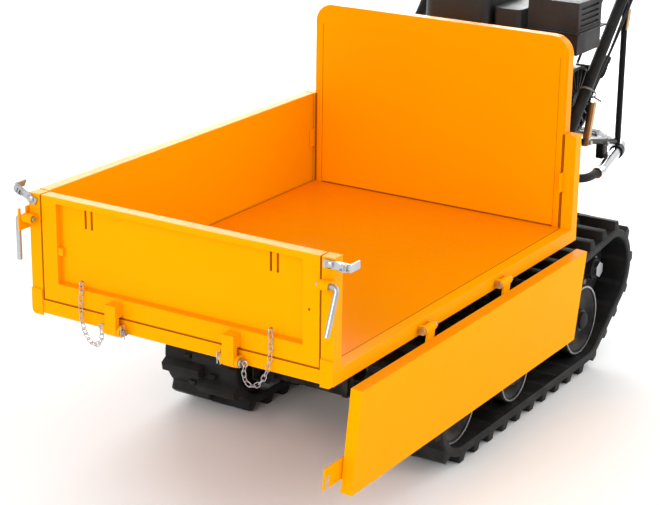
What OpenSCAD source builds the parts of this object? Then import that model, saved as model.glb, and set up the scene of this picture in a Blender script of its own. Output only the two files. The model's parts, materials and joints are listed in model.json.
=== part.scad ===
// Tracked power carrier: a small walk-behind dumper with a drop-side load tray on two rubber tracks.
// Millimetres. Ground at Z = 0, tray front towards -Y, handlebars towards +Y, +X right seen from the front.

/* [Tray] */
// Outside width of the load tray
tray_w = 655; // [640:1:720]
// Outside length of the load tray
tray_l = 945; // [900:1:1000]
// Height of the load floor above the ground
floor_h = 358; // [350:1:400]
// Height of the gate and the drop sides above the floor
side_h = 200; // [150:1:260]
// Height of the headboard above the floor
headboard_h = 400; // [300:1:440]
// Side of the square corner posts and width of the rails
post = 25; // [20:1:30]
// Height of the rails round the floor
rail_h = 28; // [24:1:36]
// Thickness of the drop sides, the gate and the headboard
panel_t = 23; // [18:1:23]
// Sheet thickness of floor, gate and sides
sheet = 3; // [2:0.5:4]

/* [Gate and sides] */
// Gap between a gate or side and the posts beside it
panel_gap = 4; // [2:0.5:6]
// Distance of the side hinge axis outside the tray
hinge_out = 9.5; // [9.5:0.5:14]
// Depth of the side hinge axis below the floor
hinge_drop = 17; // [14:0.5:20]
// Gap left between a folded side and the track beside it
side_rest_gap = 1.8; // [1:0.1:8]
// Position of the front hinge of each side behind the tray front
side_hinge_y = 305; // [200:1:340]
// Distance between the two hinges of a side
side_hinge_pitch = 297; // [200:1:400]
// Distance of each gate hinge from the middle
gate_hinge_x = 128; // [100:1:140]
// Radius of hinge pins and hinge bolts
hinge_pin_r = 5; // [4:0.5:6]
// Lean of the right handle at rest
handle_lean = 22; // [0:1:40]
// Upward turn of the left clasp at rest
clasp_turn = 25; // [0:1:60]

/* [Tracks] */
// Width of a track
track_w = 180; // [160:1:190]
// Distance of each track's outer face inside the tray's side
track_inset = 2.5; // [0:0.5:10]
// Thickness of the track's belt
belt_t = 18; // [14:1:20]
// Height of the ground lugs
lug_h = 18; // [12:1:20]
// Pitch of the lugs
lug_pitch = 60; // [56:1:72]
// Radius of the belt path on idler, rear roller and sprocket
wheel_r = 78; // [70:1:80]
// Radius of the middle roller
mid_roller_r = 60; // [50:1:66]
// Idler axle behind the tray front
idler_y = 487; // [470:1:500]
// Middle roller axle behind the tray front
mid_roller_y = 735; // [700:1:800]
// Rear roller axle behind the tray's rear edge
rear_roller_back = 103; // [85:1:115]
// Sprocket axle behind the tray's rear edge
sprocket_back = 213; // [205:1:225]
// Rise of the sprocket axle above the rear roller axle
sprocket_rise = 82; // [60:1:90]
// Teeth of the sprocket
sprocket_teeth = 9; // [8:1:10]

/* [Engine and controls] */
// Height of the engine's crankshaft
crank_h = 566; // [560:1:580]
// Radius of the recoil starter
starter_r = 75; // [60:1:80]
// Distance of each handlebar from the middle
handlebar_x = 232; // [220:1:250]
// Height of the handgrips
grip_h = 930; // [880:1:960]
// Radius of the handlebar tube
tube_r = 12.5; // [11:0.5:14]

/* [Fits] */
// Radial play of a shaft in its hole
run_fit = 0.08; // [0.03:0.01:0.10]
// Gap between faces that pass each other
face_gap = 1; // [0.5:0.1:2]
// Gap left where a loose piece rests on its seat
seat_gap = 0.3; // [0.2:0.05:0.5]

/* [Hidden] */
wheel_fn = 96;
pulley_fn = 72;
round_fn = 48;
small_fn = 24;
fine_fn = 20;
hex_fn = 6;
part_eps = 2;
bend_swell = 0.2;
bend_lap = 1;

tray_yellow = [1.0, 0.70, 0.0];
inside_orange = [0.95, 0.45, 0.0];
frame_black = [0.06, 0.06, 0.07];
rubber_black = [0.09, 0.09, 0.09];
zinc = [0.75, 0.76, 0.78];
engine_grey = [0.35, 0.36, 0.38];
alloy_grey = [0.62, 0.63, 0.65];
rope_white = [0.85, 0.85, 0.8];

// Tray planes
half_w = tray_w / 2;
rail_z = floor_h - rail_h;
side_top = floor_h + side_h;
panel_z = floor_h + face_gap;
post_in = half_w - post;
rear_y = tray_l - post;
panel_y0 = post + panel_gap;
panel_y1 = rear_y - panel_gap;

// Side hinges
hinge_x = half_w + hinge_out;
hinge_z = floor_h - hinge_drop;
side_hinges = [side_hinge_y, side_hinge_y + side_hinge_pitch];
fold_h = hinge_drop + side_h;
fold_lean = atan2(fold_h, hinge_out);
fold_tilt = acos((side_rest_gap - track_inset - hinge_out) / norm([hinge_out, fold_h])) - fold_lean;
fold_angle = 180 + fold_tilt;
eye_r = hinge_out - face_gap;
strap_w = 24;
strap_t = 5;
strap_l = 40;
ear_t = 6;
ear_gap = 0.6;
bolt_head_r = 8;
bolt_head_t = 5;
strap_rise = 3;
headboard_round = 40;
stop_in = 12;
stop_x0 = post_in - face_gap + seat_gap;
stop_l = 18;
stop_z0 = floor_h + 80;
stop_z1 = floor_h + 120;
corner_h = 40;
corner_rise = 6;
corner_toe = 4;
corner_toe_h = 20;
corner_round = 10;
window_end = 60;
window_low = 50;
window_top = 30;

// Gate and its hinges
gate_half = post_in - panel_gap;
gate_axis_y = -13;
gate_axis_z = floor_h - 20;
gate_eye_r = -gate_axis_y - part_eps;
gate_border_x = 33;
gate_border_low = 34;
gate_border_top = 12;
gate_recess = 12;
slit_x = 200;
slit_w = 5;
slit_h = 38;
slit_pitch = 14;
slit_drop = 14;
gate_strap_rise = 4;
gate_strap_h = gate_border_low - 10;
gate_hole_r = 2.5;
gate_hole_x = 278;
gate_hole_z = floor_h + 101;
gate_block = [10, 9, 14];
gate_block_z = floor_h + 90;
pin_in = 28;
pin_out = 20;
pin_head_r = 8;
pin_head_t = 3;
ring_r = 5;
ring_wire = 1.5;
ring_lap = 0.5;
clip_in = 5;
clip_hole = 10;
clip_leg = 13;
clip_arm = 8;
clip_top = 14;
clip_w = 9;

// Chains between gate and pins
chain_wire = 1.1;
chain_in_l = 11;
chain_in_w = 6;
chain_links = 16;
chain_slack = 0.9;
chain_spread = 14;
chain_bow_top = -14;
chain_bow_low = -18;
eye_x = 205;
eye_z = floor_h + 50;
link_drop = ring_r - ring_wire - seat_gap + chain_slack / 2;
pin_ring_x = gate_hinge_x + pin_out + pin_head_t + ring_r + ring_wire - ring_lap;
chain_top = [eye_x, -ring_r - ring_wire, eye_z - link_drop];
chain_end = [pin_ring_x, gate_axis_y, gate_axis_z - link_drop];
chain_sag = 53.1;
chain_low = chain_end.z - chain_sag;
chain_c1 = [eye_x + chain_spread, chain_bow_top, chain_low];
chain_c2 = [pin_ring_x - chain_spread, chain_bow_low, chain_low];
chain_steps = 60;
chain_marks = [for (i = [0 : chain_steps]) curve(chain_top, chain_c1, chain_c2, chain_end, i / chain_steps)];
chain_run = [for (i = 0, run = 0; i <= chain_steps; i = i + 1,
    run = i > chain_steps ? run : run + norm(chain_marks[i] - chain_marks[i - 1])) [run, i / chain_steps]];
chain_pitch = chain_run[chain_steps][0] / chain_links;

// Latches at the front posts
rod_r = 5;
rod_y = -15;
rod_z = side_top - 44;
sleeve_r = 9;
sleeve_l = 21;
handle_l = 83;
handle_x = half_w + 14.5;
rod_tip_x = post_in;
tab_t = 3;
tab_x = half_w + face_gap;
tab_y0 = -28;
tab_y1 = 60;
tab_low = 23;
tab_high = 19;
notch_r = 7;
clasp_x = half_w - 7.5;
clasp_z = side_top - 10;
clasp_t = 3;
clasp_h = 14;
clasp_in = 13;
clasp_out = 42;
clasp_back = 24;
clasp_y = -4.5;
rivet_r = 4;
rivet_head = 6.5;
rivet_t = 3;
sleeve_web = 6;
handle_bend = 8;

// Track path: idler, rear roller and sprocket share one wheel radius
ground_t = belt_t + lug_h;
axle_z = ground_t + wheel_r;
sprocket_z = axle_z + sprocket_rise;
mid_axle_z = ground_t + mid_roller_r;
track_x = half_w - track_inset - track_w / 2;
path_r = wheel_r + belt_t / 2;
// Angle taken by one flat of the belt where it goes round a wheel
wrap_step = 5;
rear_roller_y = tray_l + rear_roller_back;
sprocket_y = tray_l + sprocket_back;
idler_c = [idler_y, axle_z];
rear_c = [rear_roller_y, axle_z];
sprocket_c = [sprocket_y, sprocket_z];
low_run = rear_roller_y - idler_y;
back_run = norm(sprocket_c - rear_c);
top_run = norm(sprocket_c - idler_c);
back_slope = atan2(sprocket_rise, sprocket_y - rear_roller_y);
top_slope = 180 + atan2(sprocket_rise, sprocket_y - idler_y);
arc_mm = path_r * PI / 180;
rear_arc = back_slope * arc_mm;
sprocket_arc = (top_slope - back_slope) * arc_mm;
idler_arc = (360 - top_slope) * arc_mm;
path_l = low_run + back_run + top_run + rear_arc + sprocket_arc + idler_arc;
lugs = round(path_l / lug_pitch);
lug_step = path_l / lugs;
lug_base = 28;
lug_tip = 18;
lug_overlap = 10;
lug_edge = 2;
guide_w = 24;
guide_h = 16;
guide_l = 16;

// Wheels
wheel_play = 0.5;
disc_in = 30;
disc_out = 70;
rim_t = 8;
web_t = 8;
hub_r = 24;
axle_r = 10;
axle_cap_r = 17;
axle_cap_t = 5;
flange_in = 14;
flange_out = 26;
drum_r = 40;
tooth_w = 18;
tooth_r = wheel_r - guide_h - part_eps;
shaft_r = 12;
shaft_end = 58;
nut_from = shaft_end - 10;
shaft_nut_rim = 6;
axle_tube_r = 25;

// Chassis
beam_w = 40;
beam_x1 = track_x - track_w / 2 - 5;
beam_x0 = beam_x1 - beam_w;
beam_z0 = 82;
beam_z1 = 138;
beam_y0 = idler_y - 47;
beam_y1 = rear_roller_y + 52;
tube_wall = 3;
cross_l = 50;
cross_z0 = 98;
cross_z1 = 150;
pivot_y = 455;
pivot_z = floor_h - 73;
pivot_r = 12;
tower_x0 = 80;
tower_x1 = 92;
tower_r = 18;
tower_foot = 50;
lug_x0 = 96;
lug_x1 = 106;
lug_r = 20;
tip_x0 = 150;
tip_x1 = 190;
tip_z = pivot_z + lug_r;
tip_y0 = 60;
tip_y1 = tray_l - 45;
tip_bar = 40;
buffer_r = 16;
buffer_h = 19.5;
buffer_gap = 0.5;
upright = 40;
deck_z0 = 408;
deck_z1 = 444;
deck_l = 305;
deck_y0 = tray_l + 40;
deck_y1 = deck_y0 + deck_l;
plate_t = 6;
plate_z = deck_z1 + plate_t;
side_plate_x = beam_x0 - 38;
side_plate_t = 8;
side_plate_toe = [57, -36];
pivot_head_x = 10;
pivot_head_rim = 5;

// Drive train
gearbox_y0 = sprocket_y - 60;
gearbox_l = 120;
gearbox_z0 = sprocket_z - 55;
gearbox_z1 = sprocket_z + 105;
input_z = sprocket_z + 149;
input_tower = 30;
input_r = 10;
pulley_t = 26;
pulley_x0 = 2 - beam_x0;
pulley_x1 = pulley_x0 + pulley_t;
engine_pulley_r = 40;
gearbox_pulley_r = 56;
belt_w = 12;
belt_h = 8;
belt_gap = 0.4;
pulley_bore = 10;
cover_out = 18;
cover_in = 10;
cover_half = 66;
cover_rise = 62;

// Engine
engine_y = tray_l + 215;
case_x0 = -15;
case_x1 = 145;
case_half = 75;
case_top = crank_h + 59;
barrel_l = 80;
barrel_half = 50;
barrel_z = crank_h + 25;
fins = 7;
fin_t = 4;
fin_h = 12;
fin_inset = 4;
crank_in = 30;
crank_hole = 40;
saddle_x0 = case_x0 + 20;
saddle_x1 = case_x1 - 30;
saddle_half = 40;
starter_recess = 12;
starter_rim = 6;
starter_hub = 22;
starter_rib_t = 4;
starter_rib_lap = 1;
starter_x1 = case_x1 + 70;
starter_ribs = 20;
tank_x0 = -120;
tank_x1 = 40;
tank_y0 = engine_y - 100;
tank_y1 = engine_y + 90;
tank_z0 = case_top + 35;
tank_h = 130;
tank_round = 30;
cap_r = 28;
cap_h = 22;
cap_notches = 12;
cap_notch_r = 3;
neck_r = cap_r - 6;
neck_h = 10;
neck_bore = cap_r - 9;
neck_depth = 30;
tank_c = [(tank_x0 + tank_x1) / 2, (tank_y0 + tank_y1) / 2, tank_z0 + tank_h];
cleaner_x0 = 46;
cleaner_x1 = 112;
cleaner_inset = 15;
cleaner_h = tank_h - 25;
cleaner_round = 14;
muffler_x0 = 122;
muffler_x1 = 240;
muffler_y0 = engine_y - 70;
muffler_y1 = engine_y + 45;
muffler_z0 = case_top + 55;
muffler_h = 112;
ledge_out = 10;
ledge_z = muffler_z0 + 47;
ledge_t = 4;
louvres = 4;
louvre_pitch = 12;
louvre_h = 5;
louvre_deep = 6;
louvre_inset = 14;
port_half = 30;
grip_x = 196;
grip_half = 18;
grip_bar_r = 7;
grip_neck_r = 5;
grip_off = 68;
grip_y = engine_y + grip_off;
rope_r = 2.5;
rope_l = 14;
rope_z = crank_h + sqrt(pow(starter_r, 2) - pow(grip_off - rope_r, 2)) + seat_gap;

// Handlebars and guard
bar_rise = 1.055;
bar_top_l = 150;
bar_base = [handlebar_x, tray_l + 100, deck_z1 + 19];
bar_knee = [handlebar_x, bar_base.y + (grip_h - bar_base.z) / bar_rise, grip_h];
bar_end = [handlebar_x, bar_knee.y + bar_top_l, grip_h];
bar_bend_r = 55;
brace_y = bar_base.y + 355;
brace_r = tube_r - 2;
foot_w = 30;
foot_half = 18;
brace_z = bar_base.z + (brace_y - bar_base.y) * bar_rise;
grip_r = 17;
grip_l = 122;
grip_flange_t = 6;
grip_flange = 4;
guard_r = 11;
guard_sleeve_r = 14;
guard_z = (deck_z0 + deck_z1) / 2 - 10;
guard_y = bar_base.y + 35;
guard_in = [beam_x1, guard_y, guard_z];
guard_front = [274, guard_y, guard_z];
guard_side = [276, guard_y + 92, guard_z];
guard_rear = [226, guard_y + 312, guard_z];
guard_tail = [150, guard_y + 368, guard_z];
strut_r = 7;
strut_share = 0.76;
strut_low = guard_side + strut_share * (guard_rear - guard_side);
strut_y = bar_base.y + 305;
strut_z = bar_base.z + (strut_y - bar_base.y) * bar_rise;
clamp_r = guard_r + 5;
clamp_l = 12;
guard_bend_r = 40;
sleeve_back = 12;
sleeve_in = 10;
sleeve_from = guard_side + sleeve_back * (guard_front - guard_side) / norm(guard_front - guard_side);

// Levers and cables
lever_r = 5;
lever_pivot = [handlebar_x, bar_end.y - grip_l - 16, grip_h - 48];
lever_mid = lever_pivot + [0, 34, -4];
lever_end = lever_pivot + [0, 126, 4];
lever_bend_r = 30;
lever_ball = 8;
lever_boss = 8;
lever_half = 9;
lever_boss_half = 4;
lever_pin_r = 3;
clevis_t = 4;
clevis_half = 7;
clevis_low = 8;
clevis_high = 40;
drive_pivot = [handlebar_x - 46, brace_y + 26, brace_z + 4];
drive_l = 120;
drive_lean = 0.35;
drive_ear_x = 12;
drive_ear_t = 6;
ear_r = 9;
drive_pin_end = 7;
drive_pin_r = 4;
drive_rod_r = 4;
drive_boss_half = 5;
gear_pivot = [60, deck_y1 + 20, deck_z1 - 18];
gear_top = gear_pivot + [0, 35, 344];
gear_ear_out = 13;
gear_ear_t = 6;
gear_boss_r = 12;
gear_boss_half = 6;
gear_pin_r = 5;
gear_rod_r = 5;
bore_half = 20;
knob_r = 17;
throttle_x = handlebar_x - 54;
throttle_l = 58;
throttle_lean = 0.5;
throttle_out = 7;
throttle_ear_half = 3;
throttle_pin_end = 10;
throttle_pin_r = 3;
throttle_rod_r = 2.5;
throttle_boss_r = 8;
throttle_boss_half = 3;
throttle_knob_r = 8;
cable_r = 3;
cable_fn = 8;
cable_rings = 30;
cable_out = cable_r + seat_gap;
steer_start = [lever_pivot.x - lever_half - cable_out, lever_pivot.y, lever_pivot.z + 10];
steer_bow = [handlebar_x - 10, brace_y - 70, grip_h - 290];
steer_dip = [110, brace_y, deck_z0 - 8];
steer_end = [side_plate_x + side_plate_t + cable_out, sprocket_y + 72, sprocket_z + 104];
drive_start = drive_pivot + [-drive_ear_x - cable_out, 4, 0];
drive_bow = drive_pivot - [16, 86, 141.5];
drive_dip = [120, deck_y1, plate_z + 110];
drive_end = [120, deck_y1 - 20, plate_z + seat_gap];

// Middle of the outline, moved to the origin
fold_reach = hinge_x + (panel_t + hinge_out) * cos(fold_tilt) - (hinge_drop + face_gap) * sin(fold_tilt);
clasp_reach = clasp_x + clasp_out * cos(clasp_turn) + clasp_h / 2 * sin(clasp_turn);
lean_reach = rod_y - handle_l * sin(handle_lean) - rod_r;
frame_x = (fold_reach - clasp_reach) / 2;
frame_y = (bar_end.y + part_eps + lean_reach) / 2;

// Shared helpers

module machine(tint) {
    color(tint) translate([-frame_x, -frame_y, 0]) children();
}

module both_sides() {
    children();
    mirror([1, 0, 0]) children();
}

module left_side() {
    mirror([1, 0, 0]) children();
}

module box(low, high) {
    translate(low) cube(high - low);
}

module x_rod(x0, x1, at_y, at_z, radius, sides = round_fn) {
    translate([x0, at_y, at_z]) rotate([0, 90, 0]) cylinder(r = radius, h = x1 - x0, $fn = sides);
}

module y_rod(y0, y1, at_x, at_z, radius, sides = round_fn) {
    translate([at_x, y0, at_z]) rotate([-90, 0, 0]) cylinder(r = radius, h = y1 - y0, $fn = sides);
}

module rod(start, end, radius, sides = small_fn) {
    step = end - start;
    length = norm(step);
    translate(start)
        rotate([0, acos(step.z / length), atan2(step.y, step.x)])
            cylinder(r = radius, h = length, $fn = sides);
}

function unit(v) = v / norm(v);
function tube_way(points, i) = unit(points[i + 1] - points[i]);
function tube_turn(points, i) = acos(tube_way(points, i - 1) * tube_way(points, i));
function tube_cut(points, i, bend) =
    i == 0 || i == len(points) - 1 ? 0 : bend * tan(tube_turn(points, i) / 2);

// How far a straight length runs on into the bend at one of its ends
function tube_lap(points, i) = i == 0 || i == len(points) - 1 ? 0 : bend_lap;

// Round tube through a list of points, bent to one radius at each inner point, a little thicker in the bends
module bent_rod(points, radius, bend) {
    for (i = [0 : len(points) - 2]) {
        way = tube_way(points, i);
        first = points[i] + way * (tube_cut(points, i, bend) - tube_lap(points, i));
        last = points[i + 1] - way * (tube_cut(points, i + 1, bend) - tube_lap(points, i + 1));
        rod(first, last, radius);
    }
    for (i = [1 : 1 : len(points) - 2]) {
        before = tube_way(points, i - 1);
        after = tube_way(points, i);
        out = -unit(after - (after * before) * before);
        axis = cross(out, before);
        centre = points[i] - before * tube_cut(points, i, bend) - out * bend;
        multmatrix([[out.x, before.x, axis.x, centre.x], [out.y, before.y, axis.y, centre.y],
            [out.z, before.z, axis.z, centre.z], [0, 0, 0, 1]])
            rotate_extrude(angle = tube_turn(points, i), $fn = round_fn)
                translate([bend, 0]) circle(r = radius + bend_swell, $fn = small_fn);
    }
}

// Path over both sides: the right half's points, led in by their mirror image
function over_both(points) =
    concat([for (i = [len(points) - 1 : -1 : 0]) [-points[i].x, points[i].y, points[i].z]], points);

// Flat shape drawn in Y and Z, given thickness along X
module side_plate(x0, thick) {
    translate([x0, 0, 0]) rotate([90, 0, 90]) linear_extrude(thick) children();
}

// Flat shape drawn in X and Z, given thickness along Y
module front_plate(y0, thick) {
    translate([0, y0 + thick, 0]) rotate([90, 0, 0]) linear_extrude(thick) children();
}

module ring(major, minor, sides = small_fn) {
    rotate_extrude($fn = sides) translate([major, 0]) circle(r = minor, $fn = fine_fn);
}

module rounded_rect(width, height, radius) {
    translate([radius, 0]) square([width - 2 * radius, height]);
    translate([0, radius]) square([width, height - 2 * radius]);
    for (x = [radius, width - radius], y = [radius, height - radius]) {
        translate([x, y]) circle(r = radius, $fn = round_fn);
    }
}

// Rectangular tube along Y, open at both ends
module long_tube(low, high) {
    difference() {
        box(low, high);
        box(low + [tube_wall, -part_eps, tube_wall], high - [tube_wall, -part_eps, tube_wall]);
    }
}

// Tracks and running gear

function path_point(s) =
    s < low_run ? [idler_c + [s, -path_r], 0]
    : s < low_run + rear_arc ? arc_point(rear_c, (s - low_run) / arc_mm)
    : s < low_run + rear_arc + back_run ? run_point(rear_c, back_slope, s - low_run - rear_arc)
    : s < path_l - top_run - idler_arc
        ? arc_point(sprocket_c, back_slope + (s - low_run - rear_arc - back_run) / arc_mm)
    : s < path_l - idler_arc ? run_point(sprocket_c, top_slope, s - path_l + top_run + idler_arc)
    : arc_point(idler_c, top_slope + (s - path_l + idler_arc) / arc_mm);

function arc_point(centre, heading) = [arc_at(centre, heading, path_r), heading];

function run_point(centre, heading, along) =
    [arc_at(centre, heading, path_r) + along * [cos(heading), sin(heading)], heading];

// Points of the belt's way round one wheel, between the headings at which it meets and leaves it
function wrap(centre, from, to, radius) =
    let(steps = ceil((to - from) / wrap_step))
    [for (i = [0 : steps]) arc_at(centre, from + (to - from) * i / steps, radius)];

function arc_at(centre, heading, radius) = centre + radius * [sin(heading), -cos(heading)];

module path_area(radius) {
    polygon(concat(wrap(rear_c, 0, back_slope, radius), wrap(sprocket_c, back_slope, top_slope, radius),
        wrap(idler_c, top_slope, 360, radius)));
}

module at_path(s) {
    place = path_point(s);
    translate([0, place[0].x, place[0].y]) rotate([place[1], 0, 0]) children();
}

module ground_lug(x0, width) {
    side_plate(x0, width)
        polygon([[-lug_base / 2, part_eps - belt_t / 2], [-lug_tip / 2, -belt_t / 2 - lug_h],
            [lug_tip / 2, -belt_t / 2 - lug_h], [lug_base / 2, part_eps - belt_t / 2]]);
}

module track() {
    inner = track_x - track_w / 2;
    half = track_w / 2 + lug_overlap - lug_edge;
    side_plate(inner, track_w) difference() {
        path_area(wheel_r + belt_t);
        path_area(wheel_r);
    }
    for (i = [0 : lugs - 1]) {
        at_path(i * lug_step) ground_lug(track_x - lug_overlap, half);
        at_path((i + 0.5) * lug_step) ground_lug(inner + lug_edge, half);
        at_path(i * lug_step)
            box([track_x - guide_w / 2, -guide_l / 2, belt_t / 2 - part_eps],
                [track_x + guide_w / 2, guide_l / 2, belt_t / 2 + guide_h]);
    }
}

module track_left() machine(rubber_black) left_side() track();
module track_right() machine(rubber_black) track();

// Twin-disc roller turning on a fixed axle, dished on its outer face
module roller(at_y, at_z, radius) {
    rim = radius - wheel_play;
    translate([track_x, at_y, at_z]) rotate([0, 90, 0]) rotate_extrude($fn = wheel_fn) {
        for (side = [-1, 1]) {
            x0 = side > 0 ? disc_in : -disc_out;
            translate([rim - rim_t, x0]) square([rim_t, disc_out - disc_in]);
            translate([hub_r - part_eps, side > 0 ? disc_in : -disc_in - web_t])
                square([rim - rim_t - hub_r + 2 * part_eps, web_t]);
        }
        translate([axle_r + run_fit, -disc_out]) square([hub_r - axle_r - run_fit, 2 * disc_out]);
    }
}

module idler_left() machine(frame_black) left_side() roller(idler_y, axle_z, wheel_r);
module idler_right() machine(frame_black) roller(idler_y, axle_z, wheel_r);
module mid_roller_left() machine(frame_black) left_side() roller(mid_roller_y, mid_axle_z, mid_roller_r);
module mid_roller_right() machine(frame_black) roller(mid_roller_y, mid_axle_z, mid_roller_r);
module rear_roller_left() machine(frame_black) left_side() roller(rear_roller_y, axle_z, wheel_r);
module rear_roller_right() machine(frame_black) roller(rear_roller_y, axle_z, wheel_r);

module sprocket() {
    translate([track_x, sprocket_y, sprocket_z]) rotate([0, 90, 0]) difference() {
        union() {
            for (x0 = [-flange_out, flange_in]) {
                translate([0, 0, x0])
                    cylinder(r = wheel_r - wheel_play, h = flange_out - flange_in, $fn = wheel_fn);
            }
            translate([0, 0, -flange_out]) cylinder(r = drum_r, h = 2 * flange_out, $fn = round_fn);
            translate([0, 0, -flange_out]) cylinder(r = hub_r, h = flange_out + nut_from, $fn = round_fn);
            for (i = [0 : sprocket_teeth - 1]) {
                rotate([0, 0, (i + 0.5) * 360 / sprocket_teeth])
                    translate([drum_r - part_eps, -tooth_w / 2, -flange_out])
                        cube([tooth_r - drum_r + part_eps, tooth_w, 2 * flange_out]);
            }
        }
        translate([0, 0, -flange_out - part_eps])
            cylinder(r = shaft_r + run_fit, h = flange_out + shaft_end + 2 * part_eps, $fn = round_fn);
    }
}

module sprocket_left() machine(frame_black) left_side() sprocket();
module sprocket_right() machine(frame_black) sprocket();

module drive_shaft() {
    x_rod(side_plate_x + side_plate_t, track_x + nut_from, sprocket_y, sprocket_z, shaft_r);
    x_rod(track_x + nut_from, track_x + shaft_end, sprocket_y, sprocket_z, shaft_r + shaft_nut_rim, hex_fn);
}

module drive_shaft_left() machine(zinc) left_side() drive_shaft();
module drive_shaft_right() machine(zinc) drive_shaft();

module axle_pin(at_y, at_z) {
    end = track_x + disc_out + face_gap;
    x_rod(beam_x0, end + part_eps, at_y, at_z, axle_r);
    x_rod(end, end + axle_cap_t, at_y, at_z, axle_cap_r);
    x_rod(beam_x1, track_x - disc_out - face_gap, at_y, at_z, axle_cap_r);
}

module axle_pins() machine(zinc) both_sides() {
    axle_pin(idler_y, axle_z);
    axle_pin(mid_roller_y, mid_axle_z);
    axle_pin(rear_roller_y, axle_z);
}

// Chassis

module track_beam() {
    difference() {
        long_tube([beam_x0, beam_y0, beam_z0], [beam_x1, beam_y1, beam_z1]);
        for (centre = [idler_c, rear_c, [mid_roller_y, mid_axle_z]]) {
            x_rod(beam_x0 - part_eps, beam_x1 + part_eps, centre.x, centre.y, axle_r + run_fit);
        }
    }
}

module pivot_tower() {
    side_plate(tower_x0, tower_x1 - tower_x0) difference() {
        union() {
            polygon([[pivot_y - tower_foot / 2, cross_z0 + part_eps],
                [pivot_y + tower_foot / 2, cross_z0 + part_eps], [pivot_y + tower_r, pivot_z],
                [pivot_y - tower_r, pivot_z]]);
            translate([pivot_y, pivot_z]) circle(r = tower_r, $fn = round_fn);
        }
        translate([pivot_y, pivot_z]) circle(r = pivot_r + run_fit, $fn = round_fn);
    }
}

module gearbox_side_plate() {
    side_plate(side_plate_x, side_plate_t) difference() {
        polygon([[deck_y0, beam_z0], [beam_y1, beam_z0], sprocket_c + side_plate_toe,
            [deck_y1, deck_z0 + part_eps], [deck_y0, deck_z0 + part_eps]]);
        translate(sprocket_c) circle(r = axle_tube_r + run_fit, $fn = round_fn);
        translate([sprocket_y, input_z]) circle(r = input_r + face_gap, $fn = round_fn);
    }
}

module chassis_frame() machine(frame_black) {
    both_sides() {
        track_beam();
        pivot_tower();
        gearbox_side_plate();
        long_tube([beam_x0, deck_y0, deck_z0], [beam_x1, deck_y1, deck_z1]);
        box([beam_x0, deck_y0, beam_z1], [beam_x1, deck_y0 + upright, deck_z0]);
        box([beam_x0, tip_y1 - tip_bar, beam_z1], [beam_x1, tip_y1, tip_z - buffer_h - buffer_gap]);
    }
    box([-beam_x0, beam_y0, cross_z0], [beam_x0, beam_y0 + cross_l, cross_z1]);
    box([-beam_x0, deck_y0, beam_z0], [beam_x0, deck_y0 + cross_l, beam_z1]);
    for (y = [deck_y0, deck_y1 - upright]) box([-beam_x0, y, deck_z0], [beam_x0, y + upright, deck_z1]);
    for (x = [gear_pivot.x - gear_ear_out, gear_pivot.x + gear_ear_out - gear_ear_t]) {
        box([x, deck_y1 - part_eps, gear_pivot.z - gear_boss_r],
            [x + gear_ear_t, gear_pivot.y + gear_boss_r, gear_pivot.z + gear_boss_r]);
    }
    x_rod(gear_pivot.x - gear_ear_out, gear_pivot.x + gear_ear_out, gear_pivot.y, gear_pivot.z, gear_pin_r);
}

module tray_pivot_shaft() machine(zinc) {
    x_rod(-lug_x1 - part_eps, lug_x1 + part_eps, pivot_y, pivot_z, pivot_r);
    both_sides() x_rod(lug_x1 + part_eps, lug_x1 + pivot_head_x, pivot_y, pivot_z, pivot_r + pivot_head_rim);
}

module rest_buffers() machine(rubber_black) both_sides() {
    translate([(beam_x0 + beam_x1) / 2, tip_y1 - tip_bar / 2, tip_z - buffer_h - buffer_gap])
        cylinder(r = buffer_r, h = buffer_h, $fn = round_fn);
}

// Drive train

module gearbox_housing() machine(engine_grey) difference() {
    union() {
        box([-side_plate_x, gearbox_y0, gearbox_z0], [side_plate_x, gearbox_y0 + gearbox_l, gearbox_z1]);
        side_plate(-side_plate_x, 2 * side_plate_x) union() {
            translate([sprocket_y, input_z]) circle(r = input_tower, $fn = round_fn);
            translate([sprocket_y - input_tower, gearbox_z1 - part_eps])
                square([2 * input_tower, input_z - gearbox_z1 + part_eps]);
        }
        both_sides()
            x_rod(side_plate_x, track_x - flange_out - face_gap, sprocket_y, sprocket_z, axle_tube_r);
    }
    both_sides()
        x_rod(side_plate_x + side_plate_t - face_gap, track_x, sprocket_y, sprocket_z, shaft_r + run_fit);
    x_rod(pulley_x0, 0, sprocket_y, input_z, input_r + run_fit);
}

module pulley(radius, shaft_to) {
    rotate([0, 90, 0]) {
        translate([0, 0, pulley_x0]) difference() {
            cylinder(r = radius, h = pulley_x1 - pulley_x0, $fn = pulley_fn);
            translate([0, 0, (pulley_x1 - pulley_x0 - belt_w) / 2 - belt_gap]) difference() {
                cylinder(r = radius + part_eps, h = belt_w + 2 * belt_gap, $fn = pulley_fn);
                translate([0, 0, -part_eps])
                    cylinder(r = radius - belt_h, h = belt_w + 2 * belt_gap + 2 * part_eps, $fn = pulley_fn);
            }
        }
        translate([0, 0, pulley_x1 - part_eps])
            cylinder(r = pulley_bore, h = shaft_to - pulley_x1 + part_eps, $fn = round_fn);
    }
}

module gearbox_pulley() machine(engine_grey)
    translate([0, sprocket_y, input_z]) pulley(gearbox_pulley_r, -face_gap);

module engine_pulley() machine(engine_grey)
    translate([0, engine_y, crank_h]) pulley(engine_pulley_r, case_x0 + crank_in);

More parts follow.
